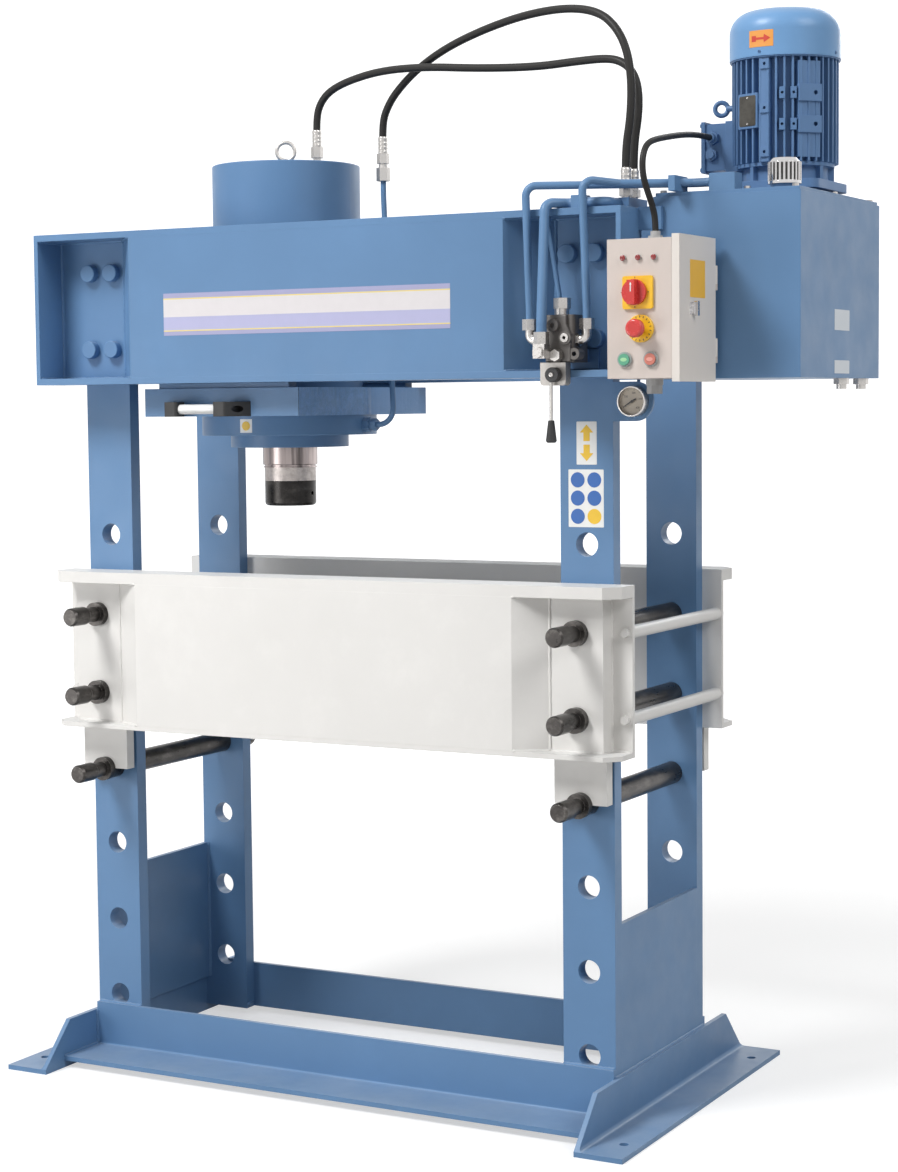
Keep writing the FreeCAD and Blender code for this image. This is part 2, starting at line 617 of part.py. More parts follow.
def on_side(turn, reach, width, z):
    """Pad on the motor's side at an angle about its axis."""
    pad = block((MOTOR_CORE_R - 8, MOTOR_FIN_R + reach), (-width / 2, width / 2), z)
    pad.rotate(V(0, 0, 0), V(0, 0, 1), turn)
    pad.translate(V(MOTOR_X, 0, 0))
    return pad


def on_side_hole(turn, shift, radius, z):
    """Screw hole into a pad, shifted along its face."""
    hole = rod("x", radius, (MOTOR_FIN_R - 8, MOTOR_FIN_R + 10), shift, z)
    hole.rotate(V(0, 0, 0), V(0, 0, 1), turn)
    hole.translate(V(MOTOR_X, 0, 0))
    return hole


for turn in range(0, 360, 45):
    web = block((88, 111), (-5, 5), (FLANGE_Z[1], BODY_LOW - 5))
    web.rotate(V(0, 0, 0), V(0, 0, 1), turn + 22.5)
    web.translate(V(MOTOR_X, 0, 0))
    motor.append(web)
FOOT_PAD_TURN = -43
FOOT_ROWS = ((BODY_LOW + 63, BODY_LOW + 101), (BODY_LOW + 133, BODY_LOW + 171))
motor.append(on_side(FOOT_PAD_TURN, -2, 54, (BODY_LOW + 9, BODY_Z[1] - 10)))
motor_holes = []
for low, high in FOOT_ROWS:
    motor.append(on_side(FOOT_PAD_TURN, 4, 56, (low, high)))
    motor_holes.append(on_side_hole(FOOT_PAD_TURN, 13, 5, (low + high) / 2))
    for turn in (-61, -73):
        motor.append(on_side(turn, 3, 13, (low + 6, high - 6)))
        motor_holes.append(on_side_hole(turn, 0, 3.2, (low + high) / 2))
motor.append(on_side(-92, -1, 20, BODY_Z))
for z in (BODY_LOW + 22, BODY_LOW + 120, BODY_Z[1] - 15):
    motor.append(on_side(-92, 3, 21, (z - 11, z + 11)))
    motor_holes.append(on_side_hole(-92, 0, 3.5, z))
motor.append(on_side(-113, 2, 58, (BODY_LOW + 77, BODY_LOW + 155)))
motor.append(block((PAD_FACE, MOTOR_X - 74), (TERMINAL_Y[0] - 3, TERMINAL_Y[1] + 3),
                   (TERMINAL_Z[0] - 4, TERMINAL_Z[1] + 4)))
motor.append(rod("x", 12, (PAD_FACE, MOTOR_X - 79), 0, EYE_Z))
motor.append(rod("x", 7, (EYE_X + 14, PAD_FACE + 2), 0, EYE_Z))
motor.append(Part.makeTorus(15, 5.5, V(EYE_X, 0, EYE_Z), V(0.35, -1, 0)))
motor_bore = on_motor((BODY_Z[1] - 32, SHIELD_TOP + 1), SHAFT_R + RUN_FIT)
node("motor_housing", less(joined(motor), [motor_bore] + motor_holes))

dome = lambda p: abs(p.z - COWL_Z[1]) < COWL_WALL + 0.1
cowl = eased(on_motor(COWL_Z, COWL_R), COWL_DOME, dome)
hollow = on_motor((COWL_Z[0] - 1, COWL_Z[1] - COWL_WALL), COWL_R - COWL_WALL)
hollow = eased(hollow, COWL_DOME - COWL_WALL, dome)
slots = []
for turn in range(0, 360, 30):
    slot = block((30, COWL_R - COWL_DOME - 3), (-4, 4), (COWL_Z[1] - 8, COWL_Z[1] + 1))
    slot.rotate(V(0, 0, 0), V(0, 0, 1), turn)
    slot.translate(V(MOTOR_X, 0, 0))
    slots.append(slot)
node("fan_cowl", less(cowl, [hollow] + slots))

fan_z = (SHIELD_TOP + 8, SHIELD_TOP + 62)
fan = [on_motor((BODY_Z[1] - 22, fan_z[1] + 5), SHAFT_R),
       on_motor(fan_z, 26),
       on_motor((fan_z[0], fan_z[0] + 5), 104)]
for turn in range(0, 360, 45):
    blade = block((20, 98), (-2, 2), (fan_z[0] + 5, fan_z[1] - 4))
    blade.rotate(V(0, 0, 0), V(0, 0, 1), turn)
    blade.translate(V(MOTOR_X, 0, 0))
    fan.append(blade)
node("fan", joined(fan))

terminal = block(TERMINAL_X, TERMINAL_Y, TERMINAL_Z)
ears = [block((TERMINAL_X[0] - 6, TERMINAL_X[0] + 3), (TERMINAL_Y[0] - 5, TERMINAL_Y[1] + 5),
              (TERMINAL_Z[0] - 5, TERMINAL_Z[1] + 5))]
ears += [rod("x", 5, (TERMINAL_X[0] - 10, TERMINAL_X[0]), y, z)
         for y in (TERMINAL_Y[0] + 3, TERMINAL_Y[1] - 3) for z in (TERMINAL_Z[0] + 3, TERMINAL_Z[1] - 3)]
node("terminal_box", joined([terminal] + ears))

# ---------------------------------------------------------------- motor cable and its glands
GLAND_FACE = TERMINAL_Y[0]
MOTOR_GLAND_Y = GLAND_FACE - 24
BOX_GLAND_Z = BOX_Z[1] + 22
CABLE_BOX = (BOX_X[0] + 67, -393.0)
CABLE_MOTOR = (PAD_FACE - 31, TERMINAL_Z[0] + 74)
cable = [(CABLE_BOX[0], y, z) for y, z in ((-393, BOX_GLAND_Z), (-393, 2090), (-411, 2121), (-438, 2150),
                                           (-458, 2176), (-464, 2204), (-457, 2229), (-438, 2249))]
cable += [(CABLE_MOTOR[0], y, z) for y, z in ((-402, 2261), (-335, 2273), (-235, 2288), (-145, 2296),
                                              (MOTOR_GLAND_Y, CABLE_MOTOR[1]))]
node("motor_cable", cord(cable, CABLE_R))
box_gland = joined([hexagon("z", 28, (BOX_Z[1], BOX_Z[1] + 12), *CABLE_BOX),
                    rod("z", 11, (BOX_Z[1] + 12, BOX_GLAND_Z), *CABLE_BOX)])
motor_gland = joined([hexagon("y", 28, (GLAND_FACE - 12, GLAND_FACE), *CABLE_MOTOR),
                      rod("y", 11, (MOTOR_GLAND_Y, GLAND_FACE - 12), *CABLE_MOTOR)])
blind_gland = joined([hexagon("y", 26, (GLAND_FACE - 8, GLAND_FACE), CABLE_MOTOR[0] - 3, TERMINAL_Z[0] + 36),
                      rod("y", 9, (GLAND_FACE - 14, GLAND_FACE - 8), CABLE_MOTOR[0] - 3, TERMINAL_Z[0] + 36)])
lower_gland = joined([rod("z", 19, (BOX_Z[0] - 14, BOX_Z[0]), BOX_X[0] + 68, -402),
                      hexagon("z", 30, (BOX_Z[0] - 33, BOX_Z[0] - 14), BOX_X[0] + 68, -402)])
node("cable_glands", box_gland, motor_gland, blind_gland, lower_gland)

# ---------------------------------------------------------------- lever valve
VALVE_FACE = VALVE_Y[0] + 9
core = eased(block(VALVE_X, (VALVE_FACE, VALVE_Y[1]), VALVE_Z), 9,
             lambda p: abs(p.z - sum(VALVE_Z) / 2) < 0.1)
face_outline = [(638, 1783), (700, 1783), (700, 1846), (690, 1866), (690, 1887), (648, 1887), (648, 1862),
                (638, 1846)]
face_pad = prism("y", face_outline, (VALVE_Y[0], VALVE_FACE))
face_pad = eased(face_pad, 3, lambda p: abs(p.y - VALVE_Y[0]) < 0.1)
PORT_BOSS = (689.0, 1836.0)
VALVE_EAR = (708.0, 1800.0)
port_boss = rod("y", 15, (VALVE_Y[0] - 7, VALVE_FACE), *PORT_BOSS)
check_boss = cone("y", 14, 16, (VALVE_Y[0] - 12, VALVE_FACE), 661, 1864)
spool_boss = rod("y", 14.5, (VALVE_Y[0] - 6, VALVE_FACE), 670, 1797)
ear = rod("y", 13, (VALVE_Y[0] + 2, VALVE_Y[0] + 32), *VALVE_EAR)
ear_web = block((VALVE_X[1] - 4, VALVE_EAR[0]), (VALVE_Y[0] + 4, VALVE_Y[0] + 30), (1788, 1813))
valve = joined([core, face_pad, port_boss, check_boss, spool_boss, ear, ear_web])
valve_cuts = [rod("y", 5.5, (VALVE_Y[0] + 1, VALVE_Y[0] + 33), *VALVE_EAR),
              rod("y", 5, (VALVE_Y[0] - 8, VALVE_Y[0] + 2), *PORT_BOSS),
              hexagon("y", 10, (VALVE_Y[0] - 13, VALVE_Y[0] - 6), 661, 1864)]

housing_z = (1730.0, VALVE_Z[0])
lever_bore = rod("y", 6 + RUN_FIT, (LEVER_HOUSING_Y[0] - 1, LEVER_HOUSING_Y[0] + 21), LEVER_X, LEVER_Z)
housing = block((626, 689), LEVER_HOUSING_Y, housing_z)
housing_y = sum(LEVER_HOUSING_Y) / 2
housing = eased(housing, 8, lambda p: abs(p.z - housing_z[0]) < 0.1 and abs(p.y - housing_y) < 0.1)
node("valve_body", less(valve, valve_cuts), less(housing, [lever_bore]))

hub_y = (LEVER_HOUSING_Y[0] - 22, LEVER_HOUSING_Y[0] - SLIDE_GAP)
lever = joined([rod("y", 6, (hub_y[1], LEVER_HOUSING_Y[0] + 20), LEVER_X, LEVER_Z),
                ribbed("y", 15.5, 16.5, 30, 0.5, hub_y, LEVER_X, LEVER_Z),
                rod("z", 4, (1652, LEVER_Z - 8), LEVER_ROD_X, LEVER_ROD_Y)])
grip = [cone("z", 12.5, 7, (1606, 1652), LEVER_ROD_X, LEVER_ROD_Y),
        cone("z", 9, 12.5, (1602, 1606), LEVER_ROD_X, LEVER_ROD_Y)]
node("valve_lever", lever)
node("lever_knob", joined(grip))

bracket_web = block((646, 692), (VALVE_Y[1], -HEAD_WEB_Y - 8), (VALVE_Z[0] + 2, 1812))
bracket_foot = block((622, 716), (-HEAD_WEB_Y - 8, -HEAD_WEB_Y), (1768, 1812))
node("brackets", *(side_bars + [gauge_plate, joined([bracket_web, bracket_foot])]))


def elbow(port, face_x, low, high):
    """Screwed elbow from a side face of the valve to a pipe that stands up."""
    x, y = port
    sign = 1 if face_x > x else -1
    collar = sorted((face_x - sign * 7, face_x))
    body = tube([(face_x - sign * 3, y, low + 13), (x, y, low + 13), (x, y, low + 36)], 11, 14)
    nut = hexagon("z", 30, (low + 36, high), x, y)
    return joined([body, hexagon("x", 26, collar, y, low + 13), nut])


front_body = block((PORT_FRONT[0] - 14, PORT_FRONT[0] + 14), (PORT_FRONT[1] - 14, PORT_FRONT[1] + 14),
                   (1790, 1822))
front_stub = rod("y", 9, (PORT_FRONT[1] + 14, VALVE_Y[0]), PORT_FRONT[0], 1803)
front_plug = hexagon("y", 22, (PORT_FRONT[1] - 22, PORT_FRONT[1] - 14), PORT_FRONT[0], 1803)
front_nut = hexagon("z", 30, (1822, 1849), *PORT_FRONT)
top_plug = joined([rod("z", 16, (VALVE_Z[1], VALVE_Z[1] + 14), 666, -376),
                   hexagon("z", 34, (VALVE_Z[1] + 14, VALVE_Z[1] + 38), 666, -376)])
spool_cap = hexagon("y", 24, (VALVE_Y[0] - 20, VALVE_Y[0] - 6), 670, 1797)
port_plug = less(rod("y", 10, (VALVE_Y[0] - 10, VALVE_Y[0] - 7), *PORT_BOSS),
                 [rod("y", 4, (VALVE_Y[0] - 11, VALVE_Y[0] - 6), *PORT_BOSS)])
top_nut = hexagon("z", 19, (VALVE_Z[1], VALVE_Z[1] + 27), *PORT_TOP)
hose_ports = []
for y in HOSE_PORT_Y:
    hose_ports.append(joined([rod("z", 10, (MANIFOLD_TOP, 2155), HOSE_PORT_X, y),
                              hexagon("z", 27, (2155, 2173), HOSE_PORT_X, y),
                              rod("z", 11, (2173, PORT_TOP_Z), HOSE_PORT_X, y)]))
node("pipe_fittings", elbow(PORT_LEFT, VALVE_X[0], 1819, 1880), elbow(PORT_RIGHT, VALVE_X[1], 1819, 1879),
     joined([front_body, front_stub, front_plug, front_nut]), top_plug, top_nut, spool_cap, port_plug,
     *hose_ports)

# ---------------------------------------------------------------- pipes, manifold and clamps
PIPE_Z = 2178.0
LOW_PIPE_Z = 2138.0
BLOCK_X = 976.0
pipe_1 = [PORT_LEFT + (1880,), PORT_LEFT + (1900,), (587, -399, PIPE_Z), (775, -309, PIPE_Z),
          (935, -236, PIPE_Z), (BLOCK_X, -236, PIPE_Z)]
pipe_2 = [PORT_RIGHT + (1879,), PORT_RIGHT + (1899,), (727, -399, PIPE_Z + 8), (790, -335, PIPE_Z),
          (935, -260, PIPE_Z), (BLOCK_X, -260, PIPE_Z)]
pipe_3 = [PORT_FRONT + (1849,), PORT_FRONT + (1870,), (635, -399, LOW_PIPE_Z), (672, -357, LOW_PIPE_Z),
          (768, -357, LOW_PIPE_Z), (768, MANIFOLD_Y[0], LOW_PIPE_Z)]
pipe_4 = [PORT_TOP + (VALVE_Z[1] + 27,), PORT_TOP + (VALVE_Z[1] + 45,),
          (FLANGE_PIPE_X, FLANGE_PIPE_Y, 2090),
          (FLANGE_PIPE_X, FLANGE_PIPE_Y, LOW_PIPE_Z), (640, HOSE_PORT_Y[0], LOW_PIPE_Z),
          (MANIFOLD_X[0], HOSE_PORT_Y[0], LOW_PIPE_Z)]
solid_1 = tube(pipe_1, PIPE_R, 24)
solid_2 = tube(pipe_2, PIPE_R, 24)
solid_3 = tube(pipe_3, WIDE_PIPE_R, 22)
solid_4 = tube(pipe_4, THIN_PIPE_R, 18)
gauge_pipe = tube([(766, -250, HEAD_Z[1]), (766, -250, 1900), (GAUGE[0], -245, 1860),
                   (GAUGE[0], -245, GAUGE[1] + 26)], 4, 12)
node("steel_pipes", solid_1, solid_2, solid_3, solid_4, gauge_pipe)

manifold = block(MANIFOLD_X, MANIFOLD_Y, (HEAD_Z[1], MANIFOLD_TOP))
lid_block = block((BLOCK_X, 1037), (-lid_y, -223), (LID_TOP, 2196))
clamp = less(block((688, 720), (-375, -339), (HEAD_Z[1], LOW_PIPE_Z + 16)), [solid_3])
pair_clamp = less(block((897, 913), (-312, -238), (LID_TOP, PIPE_Z + 14)), [solid_1, solid_2])
node("manifold_blocks", manifold, lid_block, clamp, pair_clamp)

# ---------------------------------------------------------------- gauge
bezel = less(eased(rod("y", GAUGE_R, (-290, -267), *GAUGE), 1.5, lambda p: abs(p.y + 290) < 0.1),
             [rod("y", GAUGE_R - 3.5, (-291, -280), *GAUGE)])
can = rod("y", 26, (-267, -232), *GAUGE)
stem = rod("z", 7, (GAUGE[1] + 24, GAUGE[1] + 26), GAUGE[0], -245)
spindle_hole = rod("y", 2 + RUN_FIT, (-281, -272), *GAUGE)
node("gauge_case", less(joined([bezel, can, stem]), [spindle_hole]))
pointer = [rod("y", 2, (-285, -273), *GAUGE), rod("y", 3, (-285, -283), *GAUGE)]
tip_angle = math.radians(211)
long_tip = (GAUGE[0] + 24 * math.cos(tip_angle), GAUGE[1] + 24 * math.sin(tip_angle))
tail = (-11 * math.cos(tip_angle), -11 * math.sin(tip_angle))
wide = (1.5 * math.sin(tip_angle), -1.5 * math.cos(tip_angle))
needle_outline = [(GAUGE[0] + tail[0] + wide[0], GAUGE[1] + tail[1] + wide[1]), long_tip,
                  (GAUGE[0] + tail[0] - wide[0], GAUGE[1] + tail[1] - wide[1])]
pointer.append(prism("y", needle_outline, (-284, -282.5)))
node("gauge_needle", joined(pointer))

# ---------------------------------------------------------------- control box
inner_y = (BOX_Y[0] + BOX_WALL, BOX_Y[1] - BOX_WALL)
inner_z = (BOX_Z[0] + BOX_WALL, BOX_Z[1] - BOX_WALL)
shell = less(block(BOX_X, BOX_Y, BOX_Z), [block((BOX_X[0] + BOX_WALL, BOX_X[1] + 1), inner_y, inner_z)])
knob_hole = rod("y", 5 + RUN_FIT, (BOX_Y[0] - 1, inner_y[0] + 1), *KNOB)
stop_hole = rod("y", 9 + RUN_FIT, (BOX_Y[0] - 1, inner_y[0] + 1), *STOP)
button_holes = [rod("y", 9 + RUN_FIT, (BOX_Y[0] - 1, inner_y[0] + 1), x, BUTTON_Z) for x in BUTTONS]

back_x = BOX_X[0] + BOX_WALL
plate_in = block((back_x, back_x + 4), (inner_y[0] + 14, inner_y[1] - 14),
                 (inner_z[0] + 12, inner_z[1] - 12))
box_high = BOX_Z[1] - BOX_Z[0]
upper_row = (BOX_Z[0] + 0.53 * box_high, BOX_Z[0] + 0.81 * box_high)
lower_row = (BOX_Z[0] + 0.16 * box_high, BOX_Z[0] + 0.29 * box_high)
contactor = block((back_x + 4, back_x + 70), (-400, -345), upper_row)
breaker = block((back_x + 4, back_x + 66), (-335, -317), upper_row)
terminals = block((back_x + 4, back_x + 48), (-460, -320), lower_row)
node("box_internals", joined([plate_in, contactor, breaker, terminals]))

door_y = BOX_Y
door_z = (BOX_Z[0] - DOOR_LAP, BOX_Z[1] + DOOR_LAP)
HINGE = (1000.0, BOX_Y[1] + 5.5)
door_hollow = block((DOOR_X[0] - 1, DOOR_X[1] - 4), (door_y[0] + 4, door_y[1] - 4),
                    (door_z[0] + 4, door_z[1] - 4))
door = less(block(DOOR_X, door_y, door_z), [door_hollow])
LOCK = (-425.0, 1892.0)
lock_hole = rod("x", 9 + RUN_FIT, (DOOR_X[1] - 5, DOOR_X[1] + 1), *LOCK)
knuckles = [rod("z", 5, (z, z + 40), *HINGE) for z in (1790, 1950)]
leaf_y = (BOX_Y[1] - 1, HINGE[1] - 2.6)
knuckles += [block((HINGE[0] - 3, HINGE[0] + 3), leaf_y, (z, z + 40)) for z in (1790, 1950)]
knuckle_gaps = [rod("z", 2.5 + RUN_FIT, (z - 1, z + 41), *HINGE) for z in (1790, 1950)]
node("box_door", less(joined([door] + knuckles), [lock_hole] + knuckle_gaps))
hinge_pins = []
for z in (1790, 1950):
    lug_z = (z - 14, z - SLIDE_GAP)
    hinge_pins.append(joined([rod("z", 2.5, (z - 14, z + 40), *HINGE),
                              rod("z", 5, lug_z, *HINGE),
                              block((BOX_X[1] - 14, HINGE[0]), (BOX_Y[1], BOX_Y[1] + 3), lug_z)]))
node("control_box", less(shell, [knob_hole, stop_hole] + button_holes), *hinge_pins)
wing_x = (DOOR_X[1] + 4, DOOR_X[1] + 13)
wing = eased(block(wing_x, (LOCK[0] - 5, LOCK[0] + 5), (LOCK[1] - 16, LOCK[1] + 16)), 3,
             lambda p: abs(p.x - sum(wing_x) / 2) < 0.1)
lock = joined([rod("x", 9, (DOOR_X[1] - 12, DOOR_X[1] + 1), *LOCK),
               rod("x", 13, (DOOR_X[1] + SLIDE_GAP, DOOR_X[1] + 5), *LOCK), wing,
               block((DOOR_X[1] - 12, DOOR_X[1] - 9), (LOCK[0] - 30, LOCK[0]), (LOCK[1] - 6, LOCK[1] + 6))])
slit = block((wing_x[1] - 5, wing_x[1] + 1), (LOCK[0] - 1, LOCK[0] + 1), (LOCK[1] - 5, LOCK[1] + 5))
node("door_lock", less(lock, [slit]))

# ---------------------------------------------------------------- panel controls
front = BOX_Y[0]
switch_plate = eased(block((872.5, 943), (front - 6, front), (1891, 1962)), 5,
                     lambda p: abs(p.y - front + 3) < 0.1)
switch_plate = less(switch_plate, [rod("y", 5 + RUN_FIT, (front - 7, front + 1), *KNOB)])
collar = less(eased(rod("y", 30, (front - 8, front), *STOP), 2, lambda p: abs(p.y - front + 8) < 0.1),
              [rod("y", 9 + RUN_FIT, (front - 9, front + 1), *STOP)])
node("switch_plates", switch_plate, collar)

knob_y = (front - 30, front - 6 - SLIDE_GAP)
knob_disc = rod("y", 28, (front - 14, knob_y[1]), *KNOB)
knob_bar = block((KNOB[0] - 9, KNOB[0] + 9), (knob_y[0], front - 14), (KNOB[1] - 26, KNOB[1] + 26))
knob_stem = rod("y", 5, (knob_y[1], front + 18), *KNOB)
node("switch_knob", joined([knob_disc, knob_bar, knob_stem]))

mushroom = eased(rod("y", 20, (front - 44, front - 28), *STOP), 6, lambda p: abs(p.y - front + 44) < 0.1)
node("stop_mushroom", joined([mushroom, rod("y", 9, (front - 28, front + 18), *STOP)]))

for name, x in zip(("start_button", "off_button"), BUTTONS):
    face = rod("y", 12.5, (front - 9, front - 5), x, BUTTON_Z)
    stem = rod("y", 9, (front - 5, front + 18), x, BUTTON_Z)
    node(name, joined([face, stem]))

bezels = []
for x in BUTTONS:
    ring = rod("y", 16.5, (front - 5, front), x, BUTTON_Z)
    well = rod("y", 12.5 + 2 * RUN_FIT, (front - 6, front - 1), x, BUTTON_Z)
    bore = rod("y", 9 + RUN_FIT, (front - 6, front + 1), x, BUTTON_Z)
    bezels.append(less(ring, [well, bore]))
lamps = [rod("y", 6.5, (front - 5, front), x, LAMP_Z) for x in LAMPS]
node("panel_lights", *(lamps + bezels))

# ---------------------------------------------------------------- files
os.makedirs("parts", exist_ok=True)
print(len(NODES), "nodes")
for name, shape in NODES.items():
    if not shape.isValid():
        print("not valid:", name)
    shape.exportStep("parts/" + name + ".step")
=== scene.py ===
"""Looks of the four-column hydraulic press: materials, cords, small fittings, labels, studio and camera.

Sizes are written in millimetres in the row frame and turned to metres by the helpers.
"""
import bmesh
import bpy
import math
from mathutils import Matrix, Vector


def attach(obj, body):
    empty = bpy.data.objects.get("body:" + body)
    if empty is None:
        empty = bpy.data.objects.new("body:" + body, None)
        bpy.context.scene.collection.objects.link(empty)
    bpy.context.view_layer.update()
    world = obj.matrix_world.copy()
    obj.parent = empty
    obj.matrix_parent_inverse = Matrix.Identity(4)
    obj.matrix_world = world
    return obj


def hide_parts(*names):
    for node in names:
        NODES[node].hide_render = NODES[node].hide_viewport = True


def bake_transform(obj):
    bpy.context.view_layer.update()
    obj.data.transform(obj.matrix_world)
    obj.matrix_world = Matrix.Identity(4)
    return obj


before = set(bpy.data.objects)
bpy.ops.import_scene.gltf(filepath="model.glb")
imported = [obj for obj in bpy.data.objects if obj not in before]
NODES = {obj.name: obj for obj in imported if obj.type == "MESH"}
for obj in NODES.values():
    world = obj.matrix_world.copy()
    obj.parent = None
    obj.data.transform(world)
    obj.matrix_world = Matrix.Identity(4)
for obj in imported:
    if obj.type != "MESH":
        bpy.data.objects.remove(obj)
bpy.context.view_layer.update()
MM = 0.001
SHEET = 0.4
UPWARD_GREY = (0.46, 0.49, 0.52)
PAINT_SPECULAR = 0.32
PAINT_COAT = 0.05
PAINT_COAT_ROUGH = 0.25
EDGE_SAMPLES = 4
EDGE_TURN = (0.78, 0.99)
SMOOTH_BELOW = math.radians(40)
CUT_DEPTH = 6.0
BEAD_STEP = 3.5


# ---------------------------------------------------------------- materials
def new_material(name):
    """Material with its node tree and its main shader."""
    mat = bpy.data.materials.new(name)
    mat.use_nodes = True
    tree = mat.node_tree
    shader = tree.nodes["Principled BSDF"]
    return mat, tree, shader


def value_noise(tree, scale, detail=3.0, rough=0.6, stretch=None):
    """Noise in object space, with an optional stretch of each axis."""
    coords = tree.nodes.new("ShaderNodeTexCoord")
    noise = tree.nodes.new("ShaderNodeTexNoise")
    noise.inputs["Scale"].default_value = scale
    noise.inputs["Detail"].default_value = detail
    noise.inputs["Roughness"].default_value = rough
    source = coords.outputs["Object"]
    if stretch:
        mapping = tree.nodes.new("ShaderNodeMapping")
        mapping.inputs["Scale"].default_value = stretch
        tree.links.new(source, mapping.inputs["Vector"])
        source = mapping.outputs["Vector"]
    tree.links.new(source, noise.inputs["Vector"])
    return noise.outputs["Fac"]


def ramp(tree, source, stops):
    """Colour ramp over a value: (place, colour) stops."""
    node = tree.nodes.new("ShaderNodeValToRGB")
    elements = node.color_ramp.elements
    while len(elements) < len(stops):
        elements.new(0.5)
    for element, (place, colour) in zip(elements, stops):
        element.position = place
        element.color = (*colour, 1.0)
    tree.links.new(source, node.inputs["Fac"])
    return node.outputs["Color"]


def spread(tree, source, low, high, from_low=0.3, from_high=0.7):
    """Value moved from one range to another, and held inside it."""
    node = tree.nodes.new("ShaderNodeMapRange")
    node.inputs["From Min"].default_value = from_low
    node.inputs["From Max"].default_value = from_high
    node.inputs["To Min"].default_value = low
    node.inputs["To Max"].default_value = high
    tree.links.new(source, node.inputs["Value"])
    return node.outputs["Result"]


def mixed(tree, mask, under, over):
    """Colour that goes from one to another with a mask; each is a socket or a colour."""
    node = tree.nodes.new("ShaderNodeMix")
    node.data_type = "RGBA"
    tree.links.new(mask, node.inputs["Factor"])
    sockets = [s for s in node.inputs if s.type == "RGBA"]
    for socket, value in zip(sockets, (under, over)):
        if isinstance(value, tuple):
            socket.default_value = (*value, 1.0)
        else:
            tree.links.new(value, socket)
    return [s for s in node.outputs if s.type == "RGBA"][0]


def product(tree, a, b):
    """Product of two value sockets."""
    node = tree.nodes.new("ShaderNodeMath")
    node.operation = "MULTIPLY"
    tree.links.new(a, node.inputs[0])
    tree.links.new(b, node.inputs[1])
    return node.outputs["Value"]


def beyond(tree, axis, limit, soft=0.6):
    """Mask that is 1 past a limit in mm along an axis of the row frame."""
    coords = tree.nodes.new("ShaderNodeTexCoord")
    parts = tree.nodes.new("ShaderNodeSeparateXYZ")
    tree.links.new(coords.outputs["Object"], parts.inputs["Vector"])
    return spread(tree, parts.outputs[axis], 0.0, 1.0, (limit - soft) * MM, (limit + soft) * MM)


def round_edges(tree, radius):
    """Normal that rounds each edge by a radius in mm, and a mask of those edges."""
    bevel = tree.nodes.new("ShaderNodeBevel")
    bevel.samples = EDGE_SAMPLES
    bevel.inputs["Radius"].default_value = radius * MM
    surface = tree.nodes.new("ShaderNodeNewGeometry")
    turn = tree.nodes.new("ShaderNodeVectorMath")
    turn.operation = "DOT_PRODUCT"
    tree.links.new(bevel.outputs["Normal"], turn.inputs[0])
    tree.links.new(surface.outputs["Normal"], turn.inputs[1])
    return bevel.outputs["Normal"], spread(tree, turn.outputs["Value"], 1.0, 0.0, *EDGE_TURN)


def add_bump(tree, shader, heights, normal=None):
    """Bumps of (noise, strength, distance in mm), over an optional normal."""
    for noise, strength, distance in heights:
        bump = tree.nodes.new("ShaderNodeBump")
        bump.inputs["Strength"].default_value = strength
        bump.inputs["Distance"].default_value = distance * MM
        tree.links.new(noise, bump.inputs["Height"])
        if normal is not None:
            tree.links.new(normal, bump.inputs["Normal"])
        normal = bump.outputs["Normal"]
    tree.links.new(normal, shader.inputs["Normal"])


def shade(colour, amount):
    """Colour made lighter or darker by a factor."""
    return tuple(min(1.0, c * amount) for c in colour)


def upward(tree):
    """Mask of faces that look up, which the paint turns a paler grey."""
    surface = tree.nodes.new("ShaderNodeNewGeometry")
    parts = tree.nodes.new("ShaderNodeSeparateXYZ")
    tree.links.new(surface.outputs["Normal"], parts.inputs["Vector"])
    return spread(tree, parts.outputs["Z"], 0.0, 1.0, 0.6, 0.95)


def paint(name, colour, rough=0.40, edge=1.2, peel=0.25, patch=0.06, wear_and_highlight=1.45):
    """Sprayed paint: patches, smears, a fine orange peel, thin edges lightened by wear and painted highlight,
    and a paler grey on faces that look up.
    """
    mat, tree, shader = new_material(name)
    cloud = value_noise(tree, 2.3, 4.0)
    tone = ramp(tree, cloud, [(0.3, shade(colour, 1 - patch)), (0.5, colour),
                              (0.72, shade(colour, 1 + patch))])
    normal, edges = round_edges(tree, edge)
    chips = spread(tree, value_noise(tree, 55.0, 5.0), 0.15, 0.85, 0.40, 0.62)
    # Edges turn lighter: partly wear, partly painted highlight.
    tone = mixed(tree, product(tree, edges, chips), tone, shade(colour, wear_and_highlight))
    dust = spread(tree, value_noise(tree, 9.0, 8.0, 0.7), 0.0, 0.16, 0.52, 0.75)
    tone = mixed(tree, dust, tone, shade(colour, 1.25))
    # Faces that look up are mixed towards a paler grey, in patches.
    paler_on_top = product(tree, upward(tree), spread(tree, value_noise(tree, 6.0, 6.0), 0.12, 0.30))
    tone = mixed(tree, paler_on_top, tone, UPWARD_GREY)
    tree.links.new(tone, shader.inputs["Base Color"])
    smear = value_noise(tree, 14.0, 5.0)
    tree.links.new(spread(tree, smear, rough - 0.05, rough + 0.10), shader.inputs["Roughness"])
    waves = value_noise(tree, 34.0, 2.0, 0.5)
    orange_peel = value_noise(tree, 420.0, 2.0, 0.5)
    add_bump(tree, shader, [(waves, 0.2, 0.5), (orange_peel, peel, 0.12)], normal)
    shader.inputs["Specular IOR Level"].default_value = PAINT_SPECULAR
    shader.inputs["Coat Weight"].default_value = PAINT_COAT
    shader.inputs["Coat Roughness"].default_value = PAINT_COAT_ROUGH
    return mat


